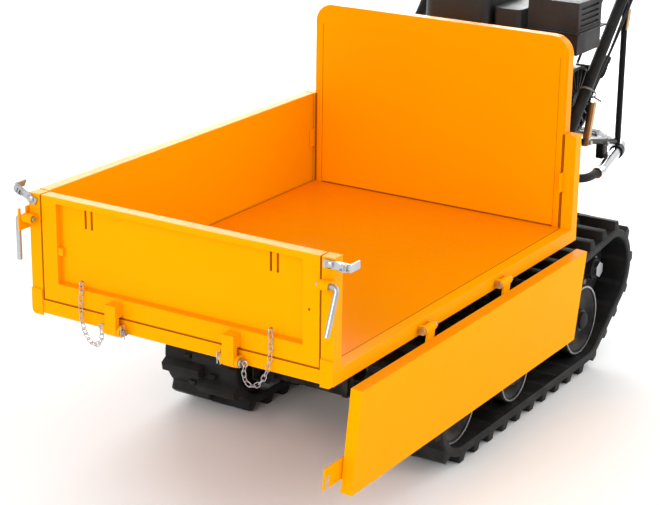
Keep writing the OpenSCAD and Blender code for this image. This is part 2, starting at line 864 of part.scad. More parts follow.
// Space inside a belt line that runs over both pulleys
module belt_core(engine_rim, gearbox_rim, x0, width) {
    engine_c = [engine_y, crank_h];
    gearbox_c = [sprocket_y, input_z];
    lean = atan2(engine_c.y - gearbox_c.y, engine_c.x - gearbox_c.x);
    wrap = acos((gearbox_rim - engine_rim) / norm(engine_c - gearbox_c));
    left = [cos(lean + wrap), sin(lean + wrap)];
    right = [cos(lean - wrap), sin(lean - wrap)];
    x_rod(x0, x0 + width, engine_y, crank_h, engine_rim + bend_swell);
    x_rod(x0, x0 + width, sprocket_y, input_z, gearbox_rim + bend_swell);
    side_plate(x0, width)
        polygon([gearbox_c + gearbox_rim * left, engine_c + engine_rim * left, engine_c + engine_rim * right,
            gearbox_c + gearbox_rim * right]);
}

module drive_belt() machine(rubber_black) difference() {
    x0 = (pulley_x0 + pulley_x1 - belt_w) / 2;
    belt_core(engine_pulley_r + belt_gap, gearbox_pulley_r + belt_gap, x0, belt_w);
    belt_core(engine_pulley_r + belt_gap - belt_h, gearbox_pulley_r + belt_gap - belt_h, x0 - part_eps,
        belt_w + 2 * part_eps);
}

module belt_guard() machine(frame_black) difference() {
    box([pulley_x0 - cover_out, engine_y - cover_half, plate_z],
        [pulley_x1 + cover_in, engine_y + cover_half, crank_h + cover_rise]);
    box([pulley_x0 - cover_out + sheet, engine_y - cover_half + sheet, plate_z - part_eps],
        [pulley_x1 + cover_in + part_eps, engine_y + cover_half - sheet, crank_h + cover_rise - sheet]);
}

module engine_plate() machine(frame_black) difference() {
    box([-beam_x1, deck_y0, deck_z1], [beam_x1, deck_y1, plate_z]);
    box([pulley_x0 - part_eps, engine_y - cover_half, deck_z1 - part_eps],
        [pulley_x1 + part_eps, engine_y + cover_half, plate_z + part_eps]);
}

// Engine

module engine_block() machine(alloy_grey) {
    difference() {
        box([case_x0, engine_y - case_half, plate_z], [case_x1, engine_y + case_half, case_top]);
        x_rod(case_x0 - part_eps, case_x0 + crank_hole, engine_y, crank_h, pulley_bore + run_fit);
    }
    y_rod(engine_y - case_half - barrel_l, engine_y - case_half + part_eps, (case_x0 + case_x1) / 2, barrel_z,
        barrel_half - fin_h);
    for (i = [0 : fins - 1]) {
        y0 = engine_y - case_half - barrel_l + i * (barrel_l - fin_t - fin_inset) / (fins - 1);
        box([(case_x0 + case_x1) / 2 - barrel_half, y0, barrel_z - barrel_half],
            [(case_x0 + case_x1) / 2 + barrel_half, y0 + fin_t, barrel_z + barrel_half]);
    }
    box([saddle_x0, engine_y - saddle_half, case_top - part_eps],
        [saddle_x1, engine_y + saddle_half, tank_z0]);
}

module recoil_starter() machine(frame_black) translate([case_x1, engine_y, crank_h]) rotate([0, 90, 0]) {
    depth = starter_x1 - case_x1;
    rib_from = starter_hub - part_eps;
    rib_to = starter_r - starter_rim + starter_rib_lap;
    difference() {
        cylinder(r = starter_r, h = depth, $fn = pulley_fn);
        translate([0, 0, depth - starter_recess]) difference() {
            cylinder(r = starter_r - starter_rim, h = starter_recess + part_eps, $fn = pulley_fn);
            cylinder(r = starter_hub, h = starter_recess + part_eps, $fn = round_fn);
        }
    }
    for (i = [0 : starter_ribs - 1]) {
        rotate([0, 0, i * 360 / starter_ribs])
            translate([rib_from, -starter_rib_t / 2, depth - starter_recess - starter_rib_lap])
                cube([rib_to - rib_from, starter_rib_t, starter_recess]);
    }
}

module starter_grip() machine(frame_black) translate([grip_x, grip_y, rope_z + rope_l + seat_gap]) {
    x_rod(-grip_half, grip_half, 0, grip_bar_r, grip_bar_r);
    cylinder(r = grip_neck_r, h = grip_bar_r, $fn = small_fn);
}

module starter_rope() machine(rope_white) translate([grip_x, grip_y, rope_z])
    cylinder(r = rope_r, h = rope_l, $fn = small_fn);

module fuel_tank() machine(frame_black) difference() {
    union() {
        translate([tank_x0, tank_y0, tank_z0])
            linear_extrude(tank_h) rounded_rect(tank_x1 - tank_x0, tank_y1 - tank_y0, tank_round);
        translate(tank_c - [0, 0, part_eps]) cylinder(r = neck_r, h = neck_h + part_eps, $fn = round_fn);
    }
    translate(tank_c - [0, 0, neck_depth])
        cylinder(r = neck_bore, h = neck_depth + neck_h + part_eps, $fn = round_fn);
}

module fuel_cap() machine(frame_black)
    translate(tank_c + [0, 0, face_gap]) difference() {
        cylinder(r = cap_r, h = cap_h, $fn = round_fn);
        translate([0, 0, -part_eps]) cylinder(r = neck_r + run_fit, h = neck_h + part_eps, $fn = round_fn);
        for (i = [0 : cap_notches - 1]) {
            rotate([0, 0, i * 360 / cap_notches]) translate([cap_r, 0, -part_eps])
                cylinder(r = cap_notch_r, h = cap_h + 2 * part_eps, $fn = small_fn);
        }
    }

module air_cleaner() machine(frame_black)
    translate([cleaner_x0, tank_y0 + cleaner_inset, tank_z0]) linear_extrude(cleaner_h)
        rounded_rect(cleaner_x1 - cleaner_x0, tank_y1 - tank_y0 - 2 * cleaner_inset, cleaner_round);

module muffler() machine(engine_grey) {
    difference() {
        box([muffler_x0, muffler_y0, muffler_z0], [muffler_x1, muffler_y1, muffler_z0 + muffler_h]);
        for (i = [0 : louvres - 1]) {
            z0 = ledge_z + (i + 1) * louvre_pitch;
            box([muffler_x1 - louvre_deep, muffler_y0 + louvre_inset, z0],
                [muffler_x1 + part_eps, muffler_y1 - louvre_inset, z0 + louvre_h]);
        }
    }
    box([muffler_x0 + ledge_out, muffler_y0 - ledge_out, ledge_z],
        [muffler_x1 + ledge_out, muffler_y1 + ledge_out, ledge_z + ledge_t]);
    box([muffler_x0, engine_y - port_half, case_top],
        [case_x1, engine_y + port_half, muffler_z0 + part_eps]);
}

// Handlebars, guard and controls

// Stay from the handlebar down to a clamp round the guard tube
module strut_and_clamp() {
    along = unit(guard_rear - guard_side) * clamp_l;
    difference() {
        union() {
            rod(strut_low, [handlebar_x, strut_y, strut_z], strut_r);
            rod(strut_low - along, strut_low + along, clamp_r);
        }
        rod(strut_low - 2 * along, strut_low + 2 * along, guard_r + run_fit);
    }
}

module handlebar() machine(frame_black) {
    bent_rod(over_both([bar_base, bar_knee, bar_end]), tube_r, bar_bend_r);
    both_sides() {
        strut_and_clamp();
        for (x = [-lever_half, lever_half - clevis_t]) {
            translate(lever_pivot)
                box([x, -clevis_half, -clevis_low], [x + clevis_t, clevis_half, clevis_high]);
        }
        translate(lever_pivot) x_rod(-lever_half, lever_half, 0, 0, lever_pin_r);
        box([beam_x0, bar_base.y - foot_half, plate_z],
            [beam_x0 + foot_w, bar_base.y + foot_half, bar_base.z]);
    }
    x_rod(-handlebar_x, handlebar_x, brace_y, brace_z, brace_r);
    translate(drive_pivot) {
        box([-drive_ear_x, brace_y - drive_pivot.y, -ear_r], [drive_ear_t - drive_ear_x, ear_r, ear_r]);
        x_rod(-drive_ear_x, drive_pin_end, 0, 0, drive_pin_r);
    }
    translate([-throttle_x, drive_pivot.y, drive_pivot.z]) {
        box([-throttle_ear_half, brace_y - drive_pivot.y, -ear_r], [throttle_ear_half, ear_r, ear_r]);
        x_rod(-throttle_ear_half, throttle_pin_end, 0, 0, throttle_pin_r);
    }
}

module grips() machine(rubber_black) both_sides() difference() {
    union() {
        y_rod(bar_end.y - grip_l, bar_end.y + part_eps, handlebar_x, grip_h, grip_r);
        y_rod(bar_end.y - grip_l, bar_end.y - grip_l + grip_flange_t, handlebar_x, grip_h,
            grip_r + grip_flange);
    }
    y_rod(bar_end.y - grip_l - part_eps, bar_end.y, handlebar_x, grip_h, tube_r + run_fit);
}

module rear_guard() machine(zinc)
    bent_rod(over_both([guard_tail, guard_rear, guard_side, guard_front, guard_in]), guard_r, guard_bend_r);

module guard_sleeves() machine(rubber_black) both_sides() difference() {
    bent_rod([sleeve_from, guard_front, guard_in + [sleeve_in, 0, 0]], guard_sleeve_r, guard_bend_r);
    bent_rod([guard_side, guard_front, guard_in], guard_r + run_fit, guard_bend_r);
}

module steering_lever() {
    difference() {
        union() {
            translate(lever_pivot) x_rod(-lever_boss_half, lever_boss_half, 0, 0, lever_boss);
            bent_rod([lever_pivot, lever_mid, lever_end], lever_r, lever_bend_r);
            translate(lever_end) sphere(r = lever_ball, $fn = small_fn);
        }
        translate(lever_pivot) x_rod(-bore_half, bore_half, 0, 0, lever_pin_r + run_fit);
    }
}

module steering_lever_left() machine(frame_black) left_side() steering_lever();
module steering_lever_right() machine(frame_black) steering_lever();

module drive_lever() machine(frame_black) translate(drive_pivot) difference() {
    union() {
        x_rod(-drive_boss_half, drive_boss_half, 0, 0, ear_r);
        rod([0, 0, 0], [0, drive_l * drive_lean, drive_l], drive_rod_r);
        translate([0, drive_l * drive_lean, drive_l]) sphere(r = knob_r, $fn = small_fn);
    }
    x_rod(-bore_half, bore_half, 0, 0, drive_pin_r + run_fit);
}

module gear_lever() machine(frame_black) translate(gear_pivot) difference() {
    union() {
        x_rod(-gear_boss_half, gear_boss_half, 0, 0, gear_boss_r);
        rod([0, 0, 0], gear_top - gear_pivot, gear_rod_r);
        translate(gear_top - gear_pivot) sphere(r = knob_r, $fn = small_fn);
    }
    x_rod(-bore_half, bore_half, 0, 0, gear_pin_r + run_fit);
}

module throttle_lever() machine(frame_black)
    translate([throttle_out - throttle_x, drive_pivot.y, drive_pivot.z]) difference() {
        union() {
            x_rod(-throttle_boss_half, throttle_boss_half, 0, 0, throttle_boss_r);
            rod([0, 0, 0], [0, throttle_l * throttle_lean, throttle_l], throttle_rod_r);
            translate([0, throttle_l * throttle_lean, throttle_l])
                sphere(r = throttle_knob_r, $fn = small_fn);
        }
        x_rod(-bore_half, bore_half, 0, 0, throttle_pin_r + run_fit);
    }

// Round cable along a smooth curve through four control points, ring by ring
function curve(a, b, c, d, t) =
    pow(1 - t, 3) * a + 3 * pow(1 - t, 2) * t * b + 3 * (1 - t) * t * t * c + pow(t, 3) * d;

function curve_way(a, b, c, d, t) =
    let (way = 3 * pow(1 - t, 2) * (b - a) + 6 * (1 - t) * t * (c - b) + 3 * t * t * (d - c)) way / norm(way);

module cable(a, b, c, d) {
    points = [for (i = [0 : cable_rings - 1]) let (
        t = i / (cable_rings - 1),
        way = curve_way(a, b, c, d, t),
        across = cross(way, [1, 0, 0]) / norm(cross(way, [1, 0, 0])),
        up = cross(across, way))
        for (k = [0 : cable_fn - 1]) let (turn = k * 360 / cable_fn)
            curve(a, b, c, d, t) + cable_r * (cos(turn) * across + sin(turn) * up)];
    sides = [for (i = [0 : cable_rings - 2], k = [0 : cable_fn - 1]) let (next = (k + 1) % cable_fn)
        [i * cable_fn + k, i * cable_fn + next, (i + 1) * cable_fn + next, (i + 1) * cable_fn + k]];
    first = [for (k = [cable_fn - 1 : -1 : 0]) k];
    last = [for (k = [0 : cable_fn - 1]) (cable_rings - 1) * cable_fn + k];
    polyhedron(points = points, faces = concat(sides, [first, last]), convexity = 6);
}

module control_cables() machine(rubber_black) {
    both_sides() cable(steer_start, steer_bow, steer_dip, steer_end);
    cable(drive_start, drive_bow, drive_dip, drive_end);
}

// Tray

module side_ear_pair() {
    for (y = side_hinges, side = [-1, 1]) {
        y0 = y + (side > 0 ? strap_w / 2 + ear_gap : -strap_w / 2 - ear_gap - ear_t);
        difference() {
            union() {
                y_rod(y0, y0 + ear_t, hinge_x, hinge_z, eye_r);
                box([half_w - part_eps, y0, hinge_z - eye_r], [hinge_x, y0 + ear_t, hinge_z + eye_r]);
            }
            y_rod(y0 - part_eps, y0 + ear_t + part_eps, hinge_x, hinge_z, hinge_pin_r + run_fit);
        }
    }
}

module gate_ear_pair() {
    for (side = [-1, 1]) {
        x0 = gate_hinge_x + (side > 0 ? strap_w / 2 + ear_gap : -strap_w / 2 - ear_gap - ear_t);
        difference() {
            union() {
                x_rod(x0, x0 + ear_t, gate_axis_y, gate_axis_z, gate_eye_r - face_gap);
                box([x0, gate_axis_y, gate_axis_z - gate_eye_r + face_gap],
                    [x0 + ear_t, part_eps, gate_axis_z + gate_eye_r - face_gap]);
            }
            x_rod(x0 - part_eps, x0 + ear_t + part_eps, gate_axis_y, gate_axis_z, hinge_pin_r + run_fit);
        }
    }
}

module front_corner() {
    front_plate(-sheet, sheet) {
        translate([post_in, rail_z + corner_rise]) square([post, corner_h]);
        translate([post_in, rail_z - corner_toe]) square([post - corner_round, corner_toe_h]);
        translate([half_w - corner_round, rail_z + corner_rise]) circle(r = corner_round, $fn = round_fn);
    }
}

module stop_tabs() {
    box([post_in - stop_in, panel_t + face_gap, stop_z0],
        [post_in + part_eps, panel_t + face_gap + sheet, stop_z1]);
    for (y = [post - part_eps, rear_y - stop_l]) {
        box([stop_x0, y, stop_z0], [half_w - panel_t - face_gap, y + stop_l + part_eps, stop_z1]);
    }
}

module tray_frame() machine(tray_yellow) {
    both_sides() {
        box([post_in, 0, rail_z], [half_w, tray_l, floor_h]);
        for (y = [0, rear_y]) box([post_in, y, floor_h - part_eps], [half_w, y + post, side_top]);
        side_ear_pair();
        gate_ear_pair();
        front_corner();
        stop_tabs();
    }
    for (y = [0, rear_y]) box([-half_w, y, rail_z], [half_w, y + post, floor_h]);
}

module tray_floor() machine(inside_orange)
    box([-post_in, post, floor_h - sheet], [post_in, rear_y, floor_h]);

module headboard_shape(inset) {
    width = 2 * (post_in - face_gap - inset);
    round = headboard_round - inset;
    translate([-width / 2, inset]) {
        square([width, headboard_h - inset * 2 - round]);
        translate([round, 0]) square([width - 2 * round, headboard_h - inset * 2]);
        for (x = [round, width - round]) {
            translate([x, headboard_h - inset * 2 - round]) circle(r = round, $fn = round_fn);
        }
    }
}

module headboard() machine(inside_orange) translate([0, 0, floor_h]) difference() {
    front_plate(rear_y, panel_t) headboard_shape(0);
    front_plate(rear_y + sheet, panel_t) headboard_shape(sheet);
}

module tip_frame() machine(frame_black) {
    both_sides() {
        long_tube([tip_x0, tip_y0, tip_z], [tip_x1, tip_y1, floor_h - sheet]);
        side_plate(lug_x0, lug_x1 - lug_x0) difference() {
            union() {
                translate([pivot_y, pivot_z]) circle(r = lug_r, $fn = round_fn);
                translate([pivot_y - lug_r, pivot_z]) square([2 * lug_r, lug_r + part_eps]);
            }
            translate([pivot_y, pivot_z]) circle(r = pivot_r + run_fit, $fn = round_fn);
        }
    }
    for (y = [tip_y0, pivot_y - tip_bar / 2, tip_y1 - tip_bar]) {
        box([-tip_x0, y, tip_z], [tip_x0, y + tip_bar, floor_h - sheet]);
    }
}

module hinge_bolt(at_y) {
    half = strap_w / 2 + ear_gap + ear_t;
    y_rod(at_y - half - part_eps, at_y + half + part_eps, hinge_x, hinge_z, hinge_pin_r);
    y_rod(at_y - half - bolt_head_t, at_y - half, hinge_x, hinge_z, bolt_head_r, hex_fn);
    y_rod(at_y + half, at_y + half + bolt_head_t, hinge_x, hinge_z, bolt_head_r, hex_fn);
}

module hinge_bolts() machine(zinc) both_sides() {
    for (y = side_hinges) hinge_bolt(y);
    y_rod(clasp_y - seat_gap, 0, clasp_x, clasp_z, rivet_r);
    y_rod(clasp_y - rivet_t, clasp_y - seat_gap, clasp_x, clasp_z, rivet_head);
    y_rod(clasp_y + clasp_t + seat_gap, 0, clasp_x, clasp_z, rivet_head);
}

module gate_pins() machine(zinc) both_sides() {
    difference() {
        x_rod(gate_hinge_x - pin_in, gate_hinge_x + pin_out, gate_axis_y, gate_axis_z, hinge_pin_r);
        translate([gate_hinge_x - pin_in + clip_in, gate_axis_y, gate_axis_z - clip_hole])
            cylinder(r = chain_wire + run_fit, h = 2 * clip_hole, $fn = small_fn);
    }
    x_rod(gate_hinge_x + pin_out, gate_hinge_x + pin_out + pin_head_t, gate_axis_y, gate_axis_z, pin_head_r);
    translate([pin_ring_x, gate_axis_y, gate_axis_z]) rotate([90, 0, 0]) ring(ring_r, ring_wire);
}

// Spring clip through each pin, a leg and an arm joined by a bend at the top
module r_clips() machine(zinc) both_sides()
    translate([gate_hinge_x - pin_in + clip_in, gate_axis_y, gate_axis_z]) {
        translate([0, 0, -clip_leg]) cylinder(r = chain_wire, h = clip_leg + clip_top, $fn = small_fn);
        translate([0, -clip_w, -clip_arm]) cylinder(r = chain_wire, h = clip_arm + clip_top, $fn = small_fn);
        translate([0, -clip_w / 2, clip_top]) rotate([0, -90, 0]) rotate([0, 0, 90])
            rotate_extrude(angle = 180, $fn = small_fn)
                translate([clip_w / 2, 0]) circle(r = chain_wire, $fn = fine_fn);
    }

module post_sleeves() machine(tray_yellow) both_sides() difference() {
    union() {
        x_rod(half_w - sleeve_l, half_w, rod_y, rod_z, sleeve_r);
        box([half_w - sleeve_l, rod_y, rod_z - sleeve_web], [half_w, 0, rod_z + sleeve_web]);
    }
    x_rod(half_w - sleeve_l - part_eps, half_w + part_eps, rod_y, rod_z, rod_r + run_fit);
}

// Front gate, upright

module gate_strap() {
    x0 = gate_hinge_x - strap_w / 2;
    side_plate(x0, strap_w) difference() {
        union() {
            translate([gate_axis_y, gate_axis_z]) circle(r = gate_eye_r, $fn = round_fn);
            translate([gate_axis_y - gate_eye_r, gate_axis_z])
                square([gate_eye_r, panel_z + gate_strap_rise - gate_axis_z]);
            translate([gate_axis_y - gate_eye_r, panel_z + gate_strap_rise])
                square([gate_eye_r - gate_axis_y + part_eps, gate_strap_h]);
        }
        translate([gate_axis_y, gate_axis_z]) circle(r = hinge_pin_r + run_fit, $fn = round_fn);
    }
}

module front_gate() machine(tray_yellow) {
    difference() {
        box([-gate_half, 0, panel_z], [gate_half, panel_t, side_top]);
        box([-gate_half + gate_border_x, -part_eps, panel_z + gate_border_low],
            [gate_half - gate_border_x, gate_recess, side_top - gate_border_top]);
        box([-gate_half + sheet, gate_recess + sheet, panel_z + sheet],
            [gate_half - sheet, panel_t + part_eps, side_top - sheet]);
        both_sides() for (i = [0, 1]) {
            x0 = slit_x - slit_pitch / 2 - slit_w / 2 + i * slit_pitch;
            box([x0, -part_eps, side_top - slit_drop - slit_h],
                [x0 + slit_w, panel_t + part_eps, side_top - slit_drop]);
        }
        y_rod(-part_eps, gate_recess, gate_hole_x, gate_hole_z, gate_hole_r);
    }
    both_sides() gate_strap();
    translate([gate_border_x - gate_half - part_eps, gate_recess - gate_block.y, gate_block_z])
        cube(gate_block + [part_eps, part_eps, 0]);
}

module chain_eyes() machine(zinc) both_sides()
    translate([eye_x, -ring_r - ring_wire, eye_z]) rotate([0, 90, 0]) ring(ring_r, ring_wire);

// Chains, each link a closed loop of wire

module chain_link() {
    half = chain_in_l / 2 - chain_in_w / 2;
    reach = chain_in_w / 2 + chain_wire;
    for (side = [-1, 1]) {
        translate([side * reach, 0, -half]) cylinder(r = chain_wire, h = 2 * half, $fn = fine_fn);
        translate([0, 0, side * half]) rotate([90, side > 0 ? 0 : 180, 0])
            rotate_extrude(angle = 180, $fn = small_fn)
                translate([reach, 0]) circle(r = chain_wire, $fn = fine_fn);
    }
}

function chain_joint(i) = curve(chain_top, chain_c1, chain_c2, chain_end, lookup(i * chain_pitch, chain_run));

module chain() {
    for (i = [0 : chain_links - 1]) {
        step = chain_joint(i + 1) - chain_joint(i);
        translate((chain_joint(i) + chain_joint(i + 1)) / 2)
            rotate([0, atan2(step.x, step.z), 0]) rotate([0, 0, i % 2 * 90]) chain_link();
    }
}

module chain_left() machine(zinc) left_side() chain();
module chain_right() machine(zinc) chain();

// Drop sides, drawn upright on the right

module side_strap(at_y) {
    y0 = at_y - strap_w / 2;
    difference() {
        union() {
            y_rod(y0, y0 + strap_w, hinge_x, hinge_z, eye_r);
            box([half_w + face_gap, y0, hinge_z],
                [half_w + face_gap + strap_t, y0 + strap_w, panel_z + strap_l]);
            box([half_w - part_eps, y0, panel_z + strap_rise],
                [half_w + face_gap + strap_t, y0 + strap_w, panel_z + strap_l]);
        }
        y_rod(y0 - part_eps, y0 + strap_w + part_eps, hinge_x, hinge_z, hinge_pin_r + run_fit);
    }
}

module latch_tab() {
    side_plate(tab_x, tab_t) difference() {
        translate([tab_y0, rod_z - tab_low]) square([tab_y1 - tab_y0, tab_low + tab_high]);
        translate([rod_y, rod_z]) circle(r = notch_r, $fn = round_fn);
        translate([rod_y - notch_r, rod_z]) square([2 * notch_r, tab_high + part_eps]);
    }
    box([half_w - part_eps, panel_y0 + part_eps, rod_z - tab_low],
        [tab_x + tab_t, tab_y1, rod_z + tab_high]);
}

module drop_side() {
    inner = half_w - panel_t;
    middle = (panel_y0 + panel_y1) / 2;
    difference() {
        box([inner, panel_y0, panel_z], [half_w, panel_y1, side_top]);
        for (y = [[panel_y0 + sheet, middle - sheet], [middle + sheet, panel_y1 - sheet]]) {
            box([inner + sheet, y[0], panel_z + sheet], [half_w - sheet, y[1], side_top - sheet]);
            box([inner + sheet, y[0] + window_end, panel_z + window_low],
                [half_w + part_eps, y[1] - window_end, side_top - window_top]);
        }
    }
    for (y = side_hinges) side_strap(y);
    latch_tab();
}

module side_left() machine(tray_yellow) left_side() drop_side();

module side_right() machine(tray_yellow)
    translate([hinge_x, 0, hinge_z]) rotate([0, fold_angle, 0])
        translate([-hinge_x, 0, -hinge_z]) drop_side();

// Latch rods and clasps

module latch_handle(lean) {
    elbow = [handle_x, rod_y, rod_z];
    bent_rod([[rod_tip_x, rod_y, rod_z], elbow, elbow - handle_l * [0, sin(lean), cos(lean)]], rod_r,
        handle_bend);
}

module handle_left() machine(zinc) left_side() latch_handle(0);
module handle_right() machine(zinc) latch_handle(handle_lean);

module clasp(turn) {
    translate([clasp_x, 0, clasp_z]) rotate([0, -turn, 0]) difference() {
        union() {
            box([-clasp_in, clasp_y, -clasp_h / 2], [clasp_out, clasp_y + clasp_t, clasp_h / 2]);
            box([clasp_out - clasp_t, clasp_y, -clasp_h / 2], [clasp_out, clasp_back, clasp_h / 2]);
        }
        y_rod(clasp_y - part_eps, clasp_y + clasp_t + part_eps, 0, 0, rivet_r + run_fit);
    }
}

module clasp_left() machine(zinc) left_side() clasp(clasp_turn);
module clasp_right() machine(zinc) clasp(0);

chassis_frame();
tray_pivot_shaft();
rest_buffers();
axle_pins();
track_left();
track_right();
sprocket_left();
sprocket_right();
drive_shaft_left();
drive_shaft_right();
idler_left();
idler_right();
mid_roller_left();
mid_roller_right();
rear_roller_left();
rear_roller_right();
gearbox_housing();
gearbox_pulley();
engine_pulley();
drive_belt();
belt_guard();
engine_plate();
engine_block();
recoil_starter();
starter_grip();
starter_rope();
fuel_tank();
fuel_cap();
air_cleaner();
muffler();
handlebar();
grips();
rear_guard();
guard_sleeves();
steering_lever_left();
steering_lever_right();
drive_lever();
gear_lever();
throttle_lever();
control_cables();
tray_frame();
tray_floor();
headboard();
tip_frame();
hinge_bolts();
gate_pins();
r_clips();
post_sleeves();
front_gate();
chain_eyes();
chain_left();
chain_right();
side_left();
side_right();
handle_left();
handle_right();
clasp_left();
clasp_right();
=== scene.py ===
# %% [markdown]
# # A tracked power carrier, dressed in Blender
# The machine is a small walk-behind dumper: a drop-side tray on two rubber tracks, with a petrol engine and
# handlebars behind it. Its solids come from a CAD model that is loaded here as a fixed frame. The lesson gives
# every solid its finish, and replaces the ones whose real shape is finer than a plain solid.

# %% Load the frame
import json
import math

import bmesh
import bpy
from mathutils import Matrix, Vector


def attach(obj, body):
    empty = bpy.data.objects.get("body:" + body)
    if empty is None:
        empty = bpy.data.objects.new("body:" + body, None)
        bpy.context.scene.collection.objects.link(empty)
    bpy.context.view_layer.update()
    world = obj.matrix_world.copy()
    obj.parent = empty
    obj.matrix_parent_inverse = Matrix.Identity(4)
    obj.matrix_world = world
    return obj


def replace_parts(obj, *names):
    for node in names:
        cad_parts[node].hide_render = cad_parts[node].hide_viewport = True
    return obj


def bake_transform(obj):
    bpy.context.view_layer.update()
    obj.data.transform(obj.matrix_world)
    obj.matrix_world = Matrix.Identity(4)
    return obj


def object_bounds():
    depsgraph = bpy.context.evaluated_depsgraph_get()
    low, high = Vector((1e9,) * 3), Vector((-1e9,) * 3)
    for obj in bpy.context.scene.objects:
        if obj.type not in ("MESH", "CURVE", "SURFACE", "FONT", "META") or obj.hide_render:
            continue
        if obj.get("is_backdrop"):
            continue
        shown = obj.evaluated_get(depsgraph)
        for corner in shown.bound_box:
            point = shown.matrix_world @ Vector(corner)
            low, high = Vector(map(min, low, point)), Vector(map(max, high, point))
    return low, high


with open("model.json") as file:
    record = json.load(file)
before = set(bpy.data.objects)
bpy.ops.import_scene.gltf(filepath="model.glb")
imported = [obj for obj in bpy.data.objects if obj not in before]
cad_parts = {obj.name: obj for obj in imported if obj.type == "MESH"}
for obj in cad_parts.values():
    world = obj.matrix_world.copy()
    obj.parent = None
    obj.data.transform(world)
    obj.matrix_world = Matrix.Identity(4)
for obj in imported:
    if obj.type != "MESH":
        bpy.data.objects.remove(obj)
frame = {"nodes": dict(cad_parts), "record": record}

nodes = frame["nodes"]
cad_low, cad_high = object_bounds()
print("solids:", len(nodes), "box:", [round(v, 3) for v in (*cad_low, *cad_high)])

# %% [markdown]
# ## One way to say where things are
# The CAD source measures in millimetres from the middle of the tray's front edge, on the ground. The frame's
# origin is the middle of the footprint. One small function turns the first into the second, so that every
# position below is a number that can be found on the machine.

# %% Positions
MM = 0.001
FRAME_X, FRAME_Y = 3.356, 794.281
TRAY_Z = 358


def at(x, y, z):
    """A point of the machine, in mm from the tray's front edge, as a point of the frame in metres."""
    return Vector(((x - FRAME_X) * MM, (y - FRAME_Y) * MM, z * MM))


print("tray's front edge:", [round(v, 4) for v in at(0, 0, TRAY_Z)])

# %% [markdown]
# ## The camera
# The photograph was taken from the front right, a little above the tray, with a long lens. The camera's place
# and turn were found by matching the tray's corners, so it is written as an azimuth, an elevation and a small
# roll. Three rotations, multiplied in that order, give the turn without any tracking constraint.

# %% Camera
AZIMUTH, ELEVATION, ROLL = map(math.radians, (32.065, 18.87, 0.769))
CAMERA_PLACE = (1.8639, -3.2678, 1.5646)
SENSOR, LENS = 36, 102.79
camera = bpy.data.objects.new("photo_camera", bpy.data.cameras.new("photo_camera"))
bpy.context.scene.collection.objects.link(camera)
camera.data.sensor_width, camera.data.lens = SENSOR, LENS
tilt = Matrix.Rotation(math.pi / 2 - ELEVATION, 4, "X")
turn = Matrix.Rotation(AZIMUTH, 4, "Z") @ tilt @ Matrix.Rotation(ROLL, 4, "Z")
camera.matrix_world = Matrix.Translation(CAMERA_PLACE) @ turn
camera.data.clip_end = 60
bpy.context.scene.camera = camera
print("camera at", [round(v, 3) for v in camera.location])

# %% [markdown]
# ## Node helpers
# Every finish is a small node tree, and so is the room's light. One helper adds a node, and sets or links its
# inputs. Another adds the node that stretches one range of values to another.

# %% Node helpers


def add(tree, kind, inputs=None, **settings):
    node = tree.nodes.new(kind)
    for key, value in settings.items():
        setattr(node, key, value)
    for key, value in (inputs or {}).items():
        if hasattr(value, "is_linked"):
            tree.links.new(value, node.inputs[key])
        else:
            node.inputs[key].default_value = value
    return node


def remap(tree, value, from_low, from_high, low=0.0, high=1.0):
    return add(tree, "ShaderNodeMapRange", {0: value, 1: from_low, 2: from_high, 3: low, 4: high}).outputs[0]


# %% [markdown]
# ## Floor and light
# A product photograph like this one is lit from all round by white walls. A white world does most of the work,
# a big soft light in front gives the paint its gloss, and one low behind the machine turns the flat top edges
# of the panels almost white, because a glossy coat reflects far more at a grazing angle. The lights don't show
# to the camera, so they don't stand in any other view.

# %% White room
HORIZON, ZENITH = 1.0, 0.72
HORIZON_TOP = 0.1
scene = bpy.context.scene
scene.view_settings.view_transform = "Standard"
scene.world = bpy.data.worlds.new("white_room")
scene.world.use_nodes = True
room_tree = scene.world.node_tree
room = room_tree.nodes["Background"]
room.inputs["Color"].default_value = (1.0, 1.0, 1.0, 1)
way = add(room_tree, "ShaderNodeSeparateXYZ", {0: add(room_tree, "ShaderNodeTexCoord").outputs["Generated"]})
strength = remap(room_tree, way.outputs["Z"], HORIZON_TOP, 1.0, HORIZON, ZENITH)
room_tree.links.new(strength, room.inputs["Strength"])
print("room light:", HORIZON, "at the horizon,", ZENITH, "overhead")

# %% Softboxes


def softbox(name, place, target, size, power):
    light = bpy.data.lights.new(name, "AREA")
    light.shape = "RECTANGLE"
    light.size, light.size_y = size
    light.energy = power
    lamp = bpy.data.objects.new(name, light)
    scene.collection.objects.link(lamp)
    lamp.location = place
    lamp.rotation_euler = (Vector(target) - Vector(place)).to_track_quat("-Z", "Y").to_euler()
    lamp.visible_camera = False
    print(name, power, "W")


CENTRE = (0, 0, 0.4)
softbox("front_softbox", place=(0.4, -4.2, 2.2), target=CENTRE, size=(2.6, 1.8), power=60)
softbox("side_softbox", place=(3.6, 0.6, 2.2), target=CENTRE, size=(2.0, 1.6), power=26)
softbox("back_softbox", place=(-2.1, 3.4, 1.75), target=(0, -0.3, 0.5), size=(3.4, 1.5), power=130)
softbox("rear_fill", place=(1.6, 4.2, 2.6), target=CENTRE, size=(2.4, 1.6), power=40)

